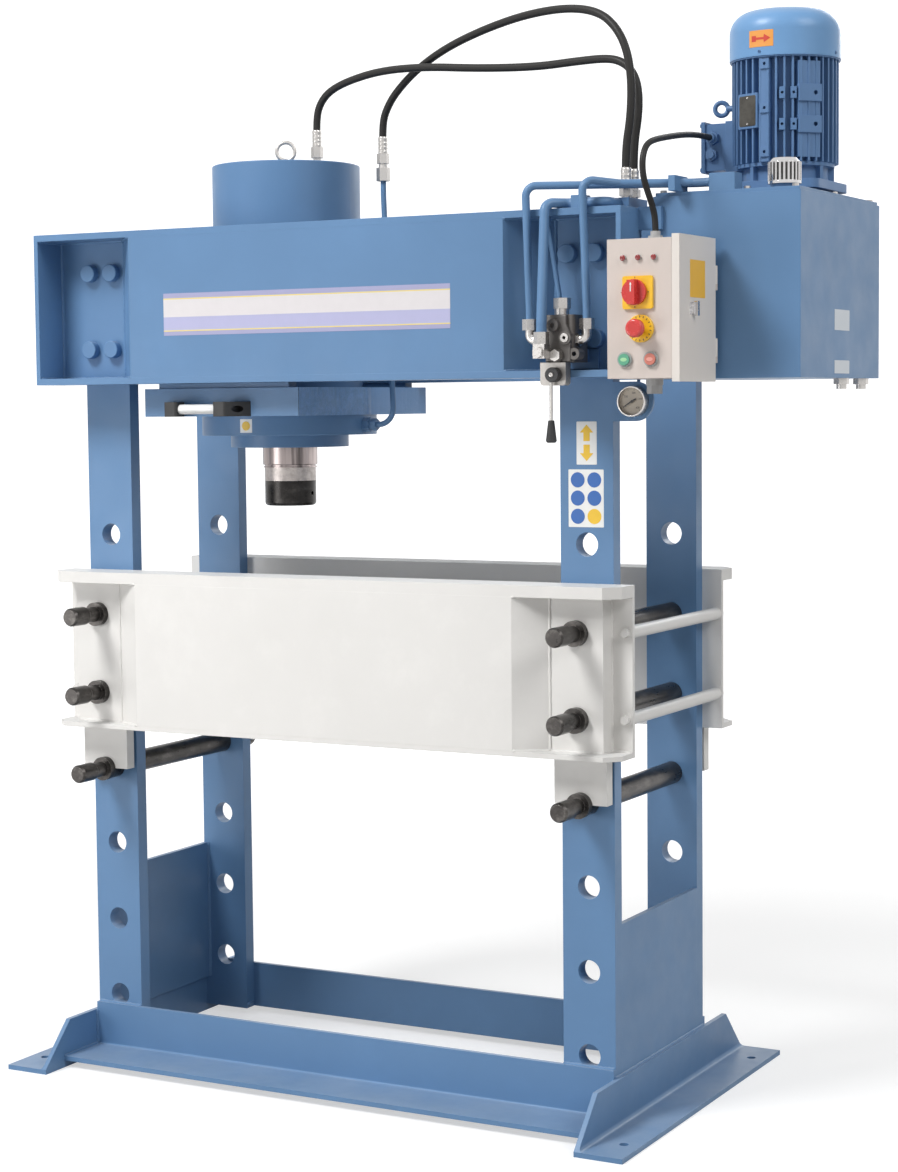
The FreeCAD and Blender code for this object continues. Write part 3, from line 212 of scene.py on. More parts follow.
def flame_cut_and_painted_light(name, colour, face_x, end_y):
    """Paint over a cut face past face_x in mm, rough up to end_y, with upright cutting lines; the face is
    painted lighter as painted light.
    """
    mat = paint(name, colour)
    tree = mat.node_tree
    shader = tree.nodes["Principled BSDF"]
    smooth = beyond(tree, "Y", end_y, 8.0)
    rough = product(tree, beyond(tree, "X", face_x), spread(tree, smooth, 1.0, 0.15, 0.0, 1.0))
    grit = value_noise(tree, 50.0, 6.0, 0.8)
    lines = value_noise(tree, 70.0, 3.0, 0.6, (1, 1, 0.15))
    under = shader.inputs["Base Color"].links[0].from_socket
    # Everything past face_x is painted lighter: painted light on that face of the plate.
    under = mixed(tree, beyond(tree, "X", face_x), under, shade(colour, 1.5))
    # Grit of the rough part: flame-cut texture, in tones set lighter as painted light.
    tone = ramp(tree, grit, [(0.38, shade(colour, 1.4)), (0.62, shade(colour, 1.8))])
    tree.links.new(mixed(tree, rough, under, tone), shader.inputs["Base Color"])
    normal = shader.inputs["Normal"].links[0].from_socket
    cuts = product(tree, rough, lines)
    pits = product(tree, rough, grit)
    add_bump(tree, shader, [(cuts, 1.0, CUT_DEPTH), (pits, 1.0, CUT_DEPTH)], normal)
    return mat


def metal(name, colour, rough=0.3, stretch=None, grain=240.0, stain=0.12, edge=0.6, depth=0.04):
    """Bare or plated metal with fine tool grain, faint stains and bright edges of wear and painted highlight.
    """
    mat, tree, shader = new_material(name)
    cloud = value_noise(tree, 22.0, 5.0)
    tone = ramp(tree, cloud,
                [(0.25, shade(colour, 1 - stain)), (0.5, colour), (0.8, shade(colour, 1 + stain / 2))])
    normal, edges = round_edges(tree, edge)
    # Edges painted brighter: partly wear, partly painted highlight.
    tree.links.new(mixed(tree, edges, tone, shade(colour, 1.3)), shader.inputs["Base Color"])
    lines = value_noise(tree, grain, 2.0, 0.7, stretch)
    tree.links.new(spread(tree, lines, rough - 0.07, rough + 0.12), shader.inputs["Roughness"])
    add_bump(tree, shader, [(lines, 0.35, depth)], normal)
    shader.inputs["Metallic"].default_value = 1.0
    return mat


def plastic(name, colour, rough=0.35, grain=600.0, depth=0.03, edge=0.5, coat=0.0, tones=(0.93, 1.05),
            specular=0.5):
    """Moulded plastic, rubber or foil with a fine grain."""
    mat, tree, shader = new_material(name)
    cloud = value_noise(tree, 40.0, 3.0)
    tree.links.new(ramp(tree, cloud, [(0.3, shade(colour, tones[0])), (0.7, shade(colour, tones[1]))]),
                   shader.inputs["Base Color"])
    tree.links.new(spread(tree, cloud, rough - 0.04, rough + 0.06), shader.inputs["Roughness"])
    fine = value_noise(tree, grain, 2.0, 0.6)
    add_bump(tree, shader, [(fine, 0.4, depth)], round_edges(tree, edge)[0])
    shader.inputs["Coat Weight"].default_value = coat
    shader.inputs["Specular IOR Level"].default_value = specular
    return mat


def foil(name, colour):
    """Printed foil of a label or sign, with a faint grain."""
    return plastic(name, colour, rough=0.4, grain=300.0, depth=0.01, edge=0.3, tones=(0.98, 1.01))


def oiled_steel(name, light=1.0):
    """Dark scaled steel bar: grey-brown wear over black, worked smooth in streaks."""
    mat, tree, shader = new_material(name)
    cloud = value_noise(tree, 28.0, 6.0, 0.7, (1.0, 0.35, 1.0))
    tone = ramp(tree, cloud,
                [(0.3, shade((0.022, 0.021, 0.020), light)), (0.52, shade((0.055, 0.050, 0.047), light)),
                 (0.75, shade((0.16, 0.15, 0.14), light))])
    normal, edges = round_edges(tree, 0.8)
    # Edges painted lighter: partly wear, partly painted highlight.
    tree.links.new(mixed(tree, edges, tone, (0.24, 0.23, 0.21)), shader.inputs["Base Color"])
    tree.links.new(spread(tree, cloud, 0.22, 0.42), shader.inputs["Roughness"])
    add_bump(tree, shader, [(value_noise(tree, 300.0, 3.0, 0.6), 0.4, 0.1)], normal)
    shader.inputs["Metallic"].default_value = 0.75
    return mat


def ground_ram(name, colour, nose_colour, nose_top):
    """Chromed bar with upright streaks of painted reflection in its colour, and a duller turned nose below a
    height in mm.
    """
    mat, tree, shader = new_material(name)
    # Dark and bright upright streaks in the chrome's colour are painted reflections.
    streaks = value_noise(tree, 38.0, 4.0, 0.65, (1, 1, 0.035))
    tone = ramp(tree, streaks, [(0.36, shade(colour, 0.35)), (0.46, shade(colour, 0.9)), (0.55, colour),
                                (0.68, shade(colour, 1.5))])
    spots = ramp(tree, value_noise(tree, 60.0, 5.0, 0.7),
                 [(0.35, shade(nose_colour, 0.7)), (0.6, nose_colour)])
    upper = beyond(tree, "Z", nose_top)
    tree.links.new(mixed(tree, upper, spots, tone), shader.inputs["Base Color"])
    tree.links.new(spread(tree, upper, 0.42, 0.3, 0.0, 1.0), shader.inputs["Roughness"])
    add_bump(tree, shader, [(value_noise(tree, 500.0, 2.0, 0.6), 0.3, 0.03)], round_edges(tree, 0.8)[0])
    shader.inputs["Metallic"].default_value = 1.0
    return mat


def second_tone(mat, axis, limit, colour, metallic):
    """Give what lies past a limit in mm along an axis another colour and metalness."""
    tree = mat.node_tree
    shader = tree.nodes["Principled BSDF"]
    mask = beyond(tree, axis, limit)
    under = shader.inputs["Base Color"].links[0].from_socket
    tree.links.new(mixed(tree, mask, under, colour), shader.inputs["Base Color"])
    tree.links.new(spread(tree, mask, shader.inputs["Metallic"].default_value, metallic, 0.0, 1.0),
                   shader.inputs["Metallic"])
    return mat


BLUE = (0.114, 0.226, 0.400)
MOTOR_BLUE = (0.105, 0.205, 0.385)
WHITE = (0.74, 0.725, 0.70)
GREY = (0.62, 0.545, 0.50)
# The door's grey is a lighter copy of the box's grey: painted light on the door's side face.
LIT_DOOR_GREY = (0.74, 0.69, 0.64)
ZINC = (0.52, 0.50, 0.48)
IRON = (0.135, 0.125, 0.118)
NOSE_TOP = 1532.0
BARREL_FITTINGS_Z = 2000.0
MOTOR_GLAND_Y = -100.0
LEVER_HOUSING_TOP = 1781.0
LEVER_HUB_FOOT = 1737.0
M = {
    "blue": paint("blue_paint", BLUE),
    "flame_cut_and_painted_light": flame_cut_and_painted_light("blue_on_flame_cut", BLUE, -69.0, 20.0),
    "motor": paint("motor_paint", MOTOR_BLUE, rough=0.44, peel=0.5),
    # The fan cowl's paint is a lighter copy of the motor's blue: painted light on the cowl.
    "cowl": paint("cowl_paint_lit", (0.160, 0.325, 0.570), rough=0.32, peel=0.15),
    "white": paint("white_paint", WHITE, rough=0.44, patch=0.025, edge=1.5, wear_and_highlight=1.1),
    "grey": paint("grey_powder_coat", GREY, rough=0.46, peel=0.5, patch=0.03, wear_and_highlight=1.15),
    "lit_door_grey": paint("door_powder_coat_lit", LIT_DOOR_GREY, rough=0.46, peel=0.5, patch=0.03, wear_and_highlight=1.1),
    "steel": metal("mill_steel", (0.42, 0.42, 0.42), rough=0.42, grain=90.0, stain=0.3),
    "black_steel": oiled_steel("oiled_steel"),
    "cap_steel": oiled_steel("browned_steel", 0.5),
    "ram": ground_ram("hard_chrome", (0.36, 0.31, 0.30), (0.45, 0.41, 0.39), NOSE_TOP),
    "chrome": metal("bright_chrome", (0.66, 0.65, 0.65), rough=0.16, stretch=(1, 1, 0.1), stain=0.1),
    "zinc": metal("zinc_plate", ZINC, rough=0.3, stain=0.1),
    "fittings": second_tone(paint("blue_and_zinc", BLUE), "Z", BARREL_FITTINGS_Z, ZINC, 1.0),
    "lever": second_tone(metal("plated_rod", ZINC, rough=0.3, stain=0.1), "Z", LEVER_HUB_FOOT,
                         (0.022, 0.022, 0.023), 0.0),
    "cast": second_tone(metal("phosphated_iron", (0.40, 0.38, 0.36), rough=0.48, stain=0.3, depth=0.12),
                        "Z", LEVER_HOUSING_TOP, IRON, 0.35),
    "hose": plastic("hose_rubber", (0.019, 0.018, 0.017), rough=0.48, grain=900.0, depth=0.06, edge=0.2,
                    specular=0.25),
    "black": plastic("black_plastic", (0.022, 0.022, 0.023), rough=0.35),
    "matt_black": plastic("matt_black_plastic", (0.014, 0.014, 0.015), rough=0.5, grain=300.0, depth=0.08,
                          edge=1.5),
    "white_plastic": plastic("white_plastic", (0.76, 0.76, 0.75), rough=0.3, coat=0.3),
    "grey_plastic": plastic("grey_plastic", (0.42, 0.42, 0.42), rough=0.45),
    "glands": second_tone(plastic("gland_plastic", (0.42, 0.42, 0.42), rough=0.45), "Y", MOTOR_GLAND_Y,
                          MOTOR_BLUE, 0.0),
    "bezel": plastic("bezel_plastic", (0.34, 0.37, 0.36), rough=0.35, coat=0.2),
    "yellow": plastic("yellow_plastic", (0.88, 0.52, 0.02), rough=0.3, coat=0.3),
    "red": plastic("red_plastic", (0.60, 0.035, 0.03), rough=0.26, coat=0.4),
    "green": plastic("green_plastic", (0.10, 0.37, 0.23), rough=0.3, coat=0.3),
    "salmon": plastic("pale_red_plastic", (0.62, 0.19, 0.14), rough=0.3, coat=0.3),
    "lens": plastic("lamp_lens", (0.24, 0.012, 0.012), rough=0.15, coat=0.6),
    "sheet_white": foil("label_white", (0.80, 0.80, 0.78)),
    "sheet_blue": foil("label_blue", (0.025, 0.12, 0.40)),
    "sheet_yellow": foil("label_yellow", (0.80, 0.50, 0.03)),
    "sheet_amber": foil("label_amber", (0.92, 0.52, 0.05)),
    "sheet_orange": foil("label_orange", (0.80, 0.33, 0.07)),
    "sheet_red": foil("label_red", (0.58, 0.05, 0.03)),
    "sheet_pale": foil("label_pale", (0.62, 0.67, 0.72)),
    "sheet_green": foil("button_green_field", (0.36, 0.66, 0.36)),
    "sheet_rose": foil("button_red_field", (0.80, 0.36, 0.30)),
    "sheet_dark": foil("dark_mark", (0.03, 0.028, 0.026)),
    "nameplate": metal("etched_nameplate", (0.10, 0.095, 0.085), rough=0.45, stain=0.5),
    "lilac": foil("band_lilac", (0.34, 0.34, 0.52)),
    "lilac_pale": foil("band_pale", (0.42, 0.42, 0.62)),
    "band_white": foil("band_white", (0.66, 0.63, 0.64)),
    "band_yellow": foil("band_yellow", (0.74, 0.62, 0.22)),
    "dial": foil("dial_face", (0.56, 0.49, 0.40)),
}

GROUPS = {
    "blue": ["feet", "base_rails", "columns", "side_plates", "head_beam_front", "head_beam_rear",
             "head_bolts", "barrel", "cylinder_head", "riser_pipe", "tank", "tank_lid", "brackets",
             "steel_pipes", "manifold_blocks", "carriage_guides"],
    "flame_cut_and_painted_light": ["carriage_plate"],
    "motor": ["motor_housing", "terminal_box"],
    "cowl": ["fan_cowl"],
    "white": ["table_beam_front", "table_beam_rear", "pin_blocks", "tie_rods"],
    "grey": ["control_box"],
    "lit_door_grey": ["box_door"],
    "steel": ["carriage_tracks"],
    "black_steel": ["pin_low_left", "pin_middle_left", "pin_high_left", "pin_low_right", "pin_middle_right",
                    "pin_high_right"],
    "cap_steel": ["ram_cap"],
    "ram": ["ram"],
    "chrome": ["filler_cap", "door_lock"],
    "zinc": ["tank_fittings", "pipe_fittings", "gauge_case"],
    "lever": ["valve_lever"],
    "fittings": ["cylinder_fittings"],
    "cast": ["valve_body"],
    "hose": ["hose_a", "hose_b", "motor_cable"],
    "black": ["fan", "lever_knob", "gauge_needle"],
    "matt_black": ["handle_brackets"],
    "white_plastic": ["handle_tube"],
    "grey_plastic": ["box_internals"],
    "glands": ["cable_glands"],
    "bezel": ["panel_lights"],
    "yellow": ["switch_plates"],
    "red": ["switch_knob", "stop_mushroom"],
    "salmon": ["off_button"],
    "green": ["start_button"],
}
for key, names in GROUPS.items():
    for name in names:
        NODES[name].data.materials.clear()
        NODES[name].data.materials.append(M[key])


# ---------------------------------------------------------------- shape helpers
def finish_piece(name, bm, material, body, smooth=True):
    """Make an object from a bmesh in metres, ride it on a body and give it its material."""
    mesh = bpy.data.meshes.new(name)
    bmesh.ops.recalc_face_normals(bm, faces=bm.faces)
    bm.to_mesh(mesh)
    bm.free()
    obj = bpy.data.objects.new(name, mesh)
    bpy.context.scene.collection.objects.link(obj)
    for face in mesh.polygons:
        face.use_smooth = smooth
    mesh.materials.append(M[material])
    if smooth:
        mesh.set_sharp_from_angle(angle=SMOOTH_BELOW)
    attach(obj, body)
    return obj


def axes_for(direction, up=(0, 0, 1)):
    """Rotation that takes +Z to the direction and +Y near to up."""
    z = Vector(direction).normalized()
    u = Vector(up)
    if abs(z.dot(u.normalized())) > 0.99:
        u = Vector((0, 1, 0))
    x = u.cross(z).normalized()
    y = z.cross(x)
    return Matrix((x, y, z)).transposed().to_4x4()


def placed(centre, direction=(0, 0, 1), up=(0, 0, 1)):
    """Matrix for local millimetres, centred in the row frame, in metres."""
    return Matrix.Translation(Vector(centre) * MM) @ axes_for(direction, up) @ Matrix.Scale(MM, 4)


def add_rings(bm, rings, matrix):
    """Skin between rings of equal count, and close both ends."""
    loops = [[bm.verts.new(matrix @ Vector(p)) for p in ring] for ring in rings]
    count = len(loops[0])
    for low, high in zip(loops, loops[1:]):
        for i in range(count):
            bm.faces.new((low[i], low[(i + 1) % count], high[(i + 1) % count], high[i]))
    bm.faces.new(list(reversed(loops[0])))
    bm.faces.new(loops[-1])


def circle(radius, height, count):
    """Ring of points round the local Z axis."""
    return [(radius * math.cos(2 * math.pi * i / count), radius * math.sin(2 * math.pi * i / count), height)
            for i in range(count)]


def add_turned(bm, profile, matrix, count=48):
    """Turned form from (radius, height) points."""
    add_rings(bm, [circle(max(r, 0.01), h, count) for r, h in profile], matrix)


def rounded(width, height, radius, count=6):
    """Outline of a rectangle with round corners."""
    points = []
    for cx, cy, start in ((1, 1, 0), (-1, 1, 90), (-1, -1, 180), (1, -1, 270)):
        for i in range(count + 1):
            t = math.radians(start + 90 * i / count)
            points.append((cx * (width / 2 - radius) + radius * math.cos(t),
                           cy * (height / 2 - radius) + radius * math.sin(t)))
    return points


def oval(wide, high, count=40):
    """Outline of an ellipse."""
    return [(wide / 2 * math.cos(2 * math.pi * i / count), high / 2 * math.sin(2 * math.pi * i / count))
            for i in range(count)]


def turned(name, profile, centre, direction, material, body, count=48):
    """Turned piece of its own, with its foot at the centre."""
    bm = bmesh.new()
    add_turned(bm, profile, placed(centre, direction), count)
    return finish_piece(name, bm, material, body)


def sheet(name, outline, centre, material, body="frame", direction=(0, -1, 0), thick=SHEET):
    """Thin flat piece of a given outline, on a face that looks along the direction."""
    bm = bmesh.new()
    add_rings(bm, [[(x, y, 0) for x, y in outline], [(x, y, thick) for x, y in outline]],
              placed(centre, direction))
    return finish_piece(name, bm, material, body, smooth=False)


def label(name, width, height, centre, material, body="frame", direction=(0, -1, 0), corner=2.0,
          thick=SHEET):
    """Thin rectangle with round corners, on a face that looks along the direction."""
    return sheet(name, rounded(width, height, corner), centre, material, body, direction, thick)


def wrapped(name, half, length, axis, radius, turn, z, material, body="frame", steps=32):
    """Thin piece bent round an upright cylinder; half(u) is its half height at u from 0 to 1."""
    bm = bmesh.new()
    rings = []
    for i in range(steps + 1):
        u = i / steps
        t = math.radians(turn) + (u - 0.5) * length / radius
        out = (math.cos(t), math.sin(t))
        h = half(u)
        rings.append([(axis[0] + r * out[0], axis[1] + r * out[1], z + side * h)
                      for r, side in ((radius, -1), (radius, 1), (radius + SHEET, 1), (radius + SHEET, -1))])
    add_rings(bm, rings, Matrix.Scale(MM, 4))
    return finish_piece(name, bm, material, body)


def add_bead(bm, start, end, radius):
    """Weld bead along a straight run, with the ripples of its passes."""
    start, end = Vector(start), Vector(end)
    length = (end - start).length
    count = max(3, int(length / BEAD_STEP))
    rings = []
    for i in range(count + 1):
        ripple = 1.0 + 0.13 * math.sin(i * 2.1) + 0.10 * math.sin(i * 0.53 + length)
        rings.append(circle(radius * ripple * (0.45 if i in (0, count) else 1.0), length * i / count, 8))
    add_rings(bm, rings, placed(start, end - start))


def beads(name, runs, radius, material="blue"):
    """One piece of weld beads on the frame, along all the runs."""
    bm = bmesh.new()
    for start, end in runs:
        add_bead(bm, start, end, radius)
    return finish_piece(name, bm, material, "frame")


# ---------------------------------------------------------------- hoses and motor cable
HOSE_R = 9.5
CABLE_R = 7.0
HOSE_A = [(-201, 0, 2387), (-201, 0, 2424), (-185, -4, 2458), (-152, -11, 2484), (-85, -26, 2503),
          (20, -50, 2516), (160, -82, 2511), (330, -121, 2490), (500, -161, 2476), (620, -189, 2477),
          (706, -210, 2475), (748, -219, 2462), (775, -223, 2436), (787, -223, 2401), (788, -223, 2345),
          (775, -223, 2270), (775, -223, 2219)]
HOSE_B = [(-8, 0, 2357), (-8, 0, 2395), (8, -5, 2430), (42, -17, 2466), (110, -38, 2512),
          (210, -71, 2553), (340, -116, 2582), (480, -166, 2599), (610, -211, 2597), (700, -242, 2575),
          (752, -260, 2532), (780, -267, 2478), (790, -267, 2410), (787, -267, 2330),
          (775, -267, 2265), (775, -267, 2219)]
CABLE = [(901, -393, 2064), (901, -393, 2090), (901, -411, 2121), (901, -438, 2150),
         (901, -458, 2176), (901, -464, 2204), (901, -457, 2229), (901, -438, 2249),
         (901, -402, 2261), (901, -335, 2273), (901, -235, 2288), (901, -145, 2296), (901, -79, 2296)]


def spline_curve(name, points, radius=0.0):
    """NURBS curve with the route's points as its control points."""
    curve = bpy.data.curves.new(name, "CURVE")
    curve.dimensions = "3D"
    curve.resolution_u = 12
    spline = curve.splines.new("NURBS")
    spline.points.add(len(points) - 1)
    for point, place in zip(spline.points, points):
        point.co = (*(Vector(place) * MM), 1.0)
    spline.order_u = 3
    spline.use_endpoint_u = True
    curve.bevel_depth = radius * MM
    curve.bevel_resolution = 6
    curve.use_fill_caps = True
    obj = bpy.data.objects.new(name, curve)
    bpy.context.scene.collection.objects.link(obj)
    return obj


def spline_points(points):
    """Points along the route's NURBS line, in metres."""
    guide = spline_curve("guide", points)
    mesh = bpy.data.meshes.new_from_object(guide)
    line = [v.co.copy() for v in mesh.vertices]
    bpy.data.objects.remove(guide)
    bpy.data.meshes.remove(mesh)
    return line


def run_length(line):
    """Length of a line of points, in metres, to the millimetre."""
    return round(sum((b - a).length for a, b in zip(line, line[1:])), 3)


def hose(name, points, node):
    """Rubber hose as one tube that bends between the frame and the carriage."""
    line = spline_points(points)
    curve = spline_curve(name + "_curve", points, HOSE_R)
    mesh = bpy.data.meshes.new_from_object(curve)
    bpy.data.objects.remove(curve)
    mesh.name = name
    obj = bpy.data.objects.new(name, mesh)
    bpy.context.scene.collection.objects.link(obj)
    mesh.materials.clear()
    mesh.materials.append(M["hose"])
    for face in mesh.polygons:
        face.use_smooth = True
    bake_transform(obj)
    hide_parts(node)


def ferrule(name, foot, body):
    """Crimped sleeve over the end of a hose, upright on a fitting's foot."""
    profile = [(9.6, 0), (11.7, 0.6), (12.0, 2.5)]
    for i in range(3):
        z = 6 + 10 * i
        profile += [(12.0, z), (11.7, z + 1), (11.7, z + 7), (12.0, z + 8)]
    profile += [(12.0, 39), (11.2, 41.5), (9.6, 42)]
    turned(name, profile, foot, (0, 0, 1), "zinc", body)


hose("pressure_hose_a", HOSE_A, "hose_a")
hose("pressure_hose_b", HOSE_B, "hose_b")
cable = spline_curve("motor_lead", CABLE, CABLE_R)
cable.data.materials.append(M["hose"])
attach(cable, "frame")
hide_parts("motor_cable")
run_length(spline_points(CABLE))
FERRULES = [("barrel_a", HOSE_A[0], 2346, "carriage"), ("barrel_b", HOSE_B[0], 2318, "carriage"),
            ("port_a", HOSE_A[-1], 2176, "frame"), ("port_b", HOSE_B[-1], 2176, "frame")]
for end, place, foot, body in FERRULES:
    ferrule("ferrule_" + end, (place[0], place[1], foot), body)

# ---------------------------------------------------------------- closing plates and welds
COLUMN_X = (606.0, 740.0)
COLUMN_Y = 267.0
COLUMN_BACK = 229.0
HEAD_Z = (1764.0, 2110.0)
HEAD_WEB_Y = 282.0
HEAD_COVER = (520.0, 381.0)
HEAD_END_X = 800.0
TABLE_Z = (890.0, 1247.0)
TABLE_WEB_Y = 279.0
TABLE_COVER = (529.0, 371.0)
TABLE_END_X = 790.0
DOUBLER_Y = 327.0
LUG_Y = 309.0
RAIL_FACE = 279.0
RAIL_EDGE = 422.0
RAIL_TOP = 140.0
LEDGE_TOP = 30.0
FOOT_TOP = 120.0
SIDE_Z = (98.0, 477.0)
SIDE_THICK = 13.0
CLOSING = 8.0
HEAD_BEAD = 4.0
TABLE_BEAD = 3.5
BASE_BEAD = 4.5
LUG_TOP = 877.0
BEAD_PAST = 6.0
LIP_IN = 4.0
CORNERS = [(side, face) for side in (-1, 1) for face in (-1, 1)]


def corner_name(stem, side, face):
    """Name of a piece at one of the four corners."""
    return "%s_%s_%s" % (stem, "right" if side > 0 else "left", "rear" if face > 0 else "front")


def closing_plate(name, cover, corner, z, side, face, material):
    """Slanted plate from the edge of a beam's cover back to the corner beside its column."""
    a, b = Vector(cover), Vector(corner)
    along = (b - a).normalized()
    back = Vector((along.y, -along.x)) * CLOSING
    outline = [a, b, b + back, a + back]
    bm = bmesh.new()
    add_rings(bm, [[(side * p.x, face * p.y, level) for p in outline] for level in z], Matrix.Scale(MM, 4))
    finish_piece(name, bm, material, "frame", smooth=False)


def beam_runs(side, face, z, cover, corner, web_y, end_x, lip_y):
    """Weld runs inside one end of a beam: along its slanted plate, its web and any end plate."""
    def at(x, y, level):
        """Point of this corner from sizes given for the right rear one."""
        return (side * x, face * y, level)
    runs = [(at(*corner, z[0]), at(*corner, z[1]))]
    for level in z:
        runs.append((at(*cover, level), at(*corner, level)))
        start_x = COLUMN_X[0] if lip_y else COLUMN_X[1]
        runs.append((at(start_x, web_y, level), at(end_x, web_y, level)))
        if lip_y:
            runs.append((at(end_x, web_y, level), at(end_x, lip_y, level)))
    if lip_y:
        runs.append((at(end_x, web_y, z[0]), at(end_x, web_y, z[1])))
    return runs


for side, face in CORNERS:
    corner = (COLUMN_X[0], HEAD_WEB_Y)
    closing_plate(corner_name("head_closing", side, face), HEAD_COVER, corner, HEAD_Z, side, face, "blue")
    beads(corner_name("head_weld", side, face),
          beam_runs(side, face, HEAD_Z, HEAD_COVER, corner, HEAD_WEB_Y, HEAD_END_X,
                    HEAD_COVER[1] - LIP_IN), HEAD_BEAD)
    corner = (COLUMN_X[0], DOUBLER_Y)
    closing_plate(corner_name("table_closing", side, face), TABLE_COVER, corner, TABLE_Z, side, face, "white")
    runs = beam_runs(side, face, TABLE_Z, TABLE_COVER, corner, TABLE_WEB_Y, TABLE_END_X, None)
    x_in, x_out = side * COLUMN_X[0], side * COLUMN_X[1]
    web_y, doubler_y = face * TABLE_WEB_Y, face * DOUBLER_Y
    for level in TABLE_Z:
        runs.append(((x_in, doubler_y, level), (x_out, doubler_y, level)))
        runs.append(((x_out, web_y, level), (x_out, doubler_y, level)))
    runs.append(((x_out, web_y, TABLE_Z[0]), (x_out, web_y, TABLE_Z[1])))
    runs.append(((x_in, face * LUG_Y, LUG_TOP), (x_out, face * LUG_Y, LUG_TOP)))
    beads(corner_name("table_weld", side, face), runs, TABLE_BEAD, "white")
    column_y, rail_y, back_y = face * COLUMN_Y, face * RAIL_FACE, face * COLUMN_BACK
    plate_x = x_out - side * SIDE_THICK
    beads(corner_name("base_weld", side, face),
          [((x_in, column_y, RAIL_TOP), (x_out, column_y, RAIL_TOP)),
           ((x_out, rail_y, LEDGE_TOP), (x_out, rail_y, FOOT_TOP)),
           ((x_out, rail_y, LEDGE_TOP), (x_out, face * RAIL_EDGE, LEDGE_TOP)),
           ((x_in, back_y, LEDGE_TOP), (x_in, column_y, LEDGE_TOP)),
           ((plate_x, back_y, SIDE_Z[0]), (plate_x, back_y, SIDE_Z[1]))], BASE_BEAD)
for side in (-1, 1):
    reach = COLUMN_Y + BEAD_PAST
    beads("foot_weld_%s" % ("right" if side > 0 else "left"),
          [((side * COLUMN_X[1], -reach, FOOT_TOP), (side * COLUMN_X[1], reach, FOOT_TOP))], BASE_BEAD)

# ---------------------------------------------------------------- banner and labels
COVER_Y = -HEAD_COVER[1]
BANNER_X = (-417.0, 383.0)
BANNER_FOOT = 1865.0
BANDS = [(0, 10, "lilac"), (10, 13, "band_yellow"), (13, 45, "lilac_pale"), (45, 88, "band_white"),
         (88, 91, "band_yellow"), (91, 103, "lilac")]
for number, (low, high, tone) in enumerate(BANDS):
    label("banner_band_%d" % number, BANNER_X[1] - BANNER_X[0], high - low,
          (sum(BANNER_X) / 2, COVER_Y, BANNER_FOOT + (low + high) / 2), tone, corner=0.3)


def arrow(length, width, head, neck):
    """Outline of a plain arrow that points up."""
    return [(-neck / 2, -length / 2), (neck / 2, -length / 2), (neck / 2, length / 2 - head),
            (width / 2, length / 2 - head), (0, length / 2), (-width / 2, length / 2 - head),
            (-neck / 2, length / 2 - head)]


LABEL_X = 674.0
LOW_LABEL_X = LABEL_X - 2
ON_LABEL = -COLUMN_Y - SHEET
SPOT_PITCH = 42
TOP_SPOT_Z = 1514
up_arrow = arrow(38, 34, 18.4, 16)
label("column_label_top", 51, 99, (LABEL_X, -COLUMN_Y, 1598.5), "sheet_white")
sheet("column_arrow_up", up_arrow, (LABEL_X, ON_LABEL, 1622), "sheet_yellow")
sheet("column_arrow_down", [(x, -y) for x, y in up_arrow], (LABEL_X, ON_LABEL, 1576), "sheet_yellow")
label("column_label_low", 89, 133, (LOW_LABEL_X, -COLUMN_Y, 1471.5), "sheet_white")
for row in range(3):
    for side in (-1, 1):
        tone = "sheet_yellow" if (row, side) == (2, 1) else "sheet_blue"
        place = (LOW_LABEL_X + side * SPOT_PITCH / 2, ON_LABEL, TOP_SPOT_Z - SPOT_PITCH * row)
        sheet("column_spot_%d_%d" % (row, side + 1), oval(35, 35), place, tone)

CYLINDER = (-295.0, 0.0)
RING_R = 225.0
RING_LABEL = (-87.0, 1641.0)
RING_LABEL_SIDE = 34
RING_DISC_R = 11.5


def ring_disc(u):
    """Half height of a disc at u from 0 to 1 across it."""
    return RING_DISC_R * math.sqrt(max(0.004, 1 - (2 * u - 1) ** 2))


wrapped("ring_label", lambda u: RING_LABEL_SIDE / 2, RING_LABEL_SIDE, CYLINDER, RING_R, *RING_LABEL,
        "sheet_white", "carriage")
wrapped("ring_label_disc", ring_disc, 2 * RING_DISC_R, CYLINDER, RING_R + SHEET, *RING_LABEL,
        "sheet_yellow", "carriage")

# ---------------------------------------------------------------- power unit
MOTOR = (1056.0, 0.0)
COWL_R = 127.0
COWL_LABEL = (-95.5, 2503.0)


def rotor_arrow(u):
    """Half height of an arrow with a notched tail and a head at its right."""
    if u > 0.66:
        return 9.5 * (1 - u) / 0.34 + 0.3
    return 2.6 if u > 0.24 else 6.5


wrapped("cowl_label", lambda u: 18.5, 60, MOTOR, COWL_R, *COWL_LABEL, "sheet_orange")
wrapped("cowl_arrow", rotor_arrow, 46, MOTOR, COWL_R + SHEET, *COWL_LABEL, "sheet_red", steps=50)


def round_motor(turn, reach, z):
    """Point at a turn in degrees and a reach from the motor's axis."""
    t = math.radians(turn)
    return (MOTOR[0] + reach * math.cos(t), MOTOR[1] + reach * math.sin(t), z)


def screw(name, centre, direction, radius, body="frame", material="zinc"):
    """Domed screw head with a socket."""
    profile = [(radius, 0), (radius, radius * 0.35), (radius * 0.8, radius * 0.6),
               (radius * 0.45, radius * 0.66), (radius * 0.42, radius * 0.2), (0.1, radius * 0.2)]
    turned(name, profile, centre, direction, material, body, 24)


def away_from_motor(place):
    """Level direction from the motor's axis out to a place."""
    return (place[0] - MOTOR[0], place[1] - MOTOR[1], 0)


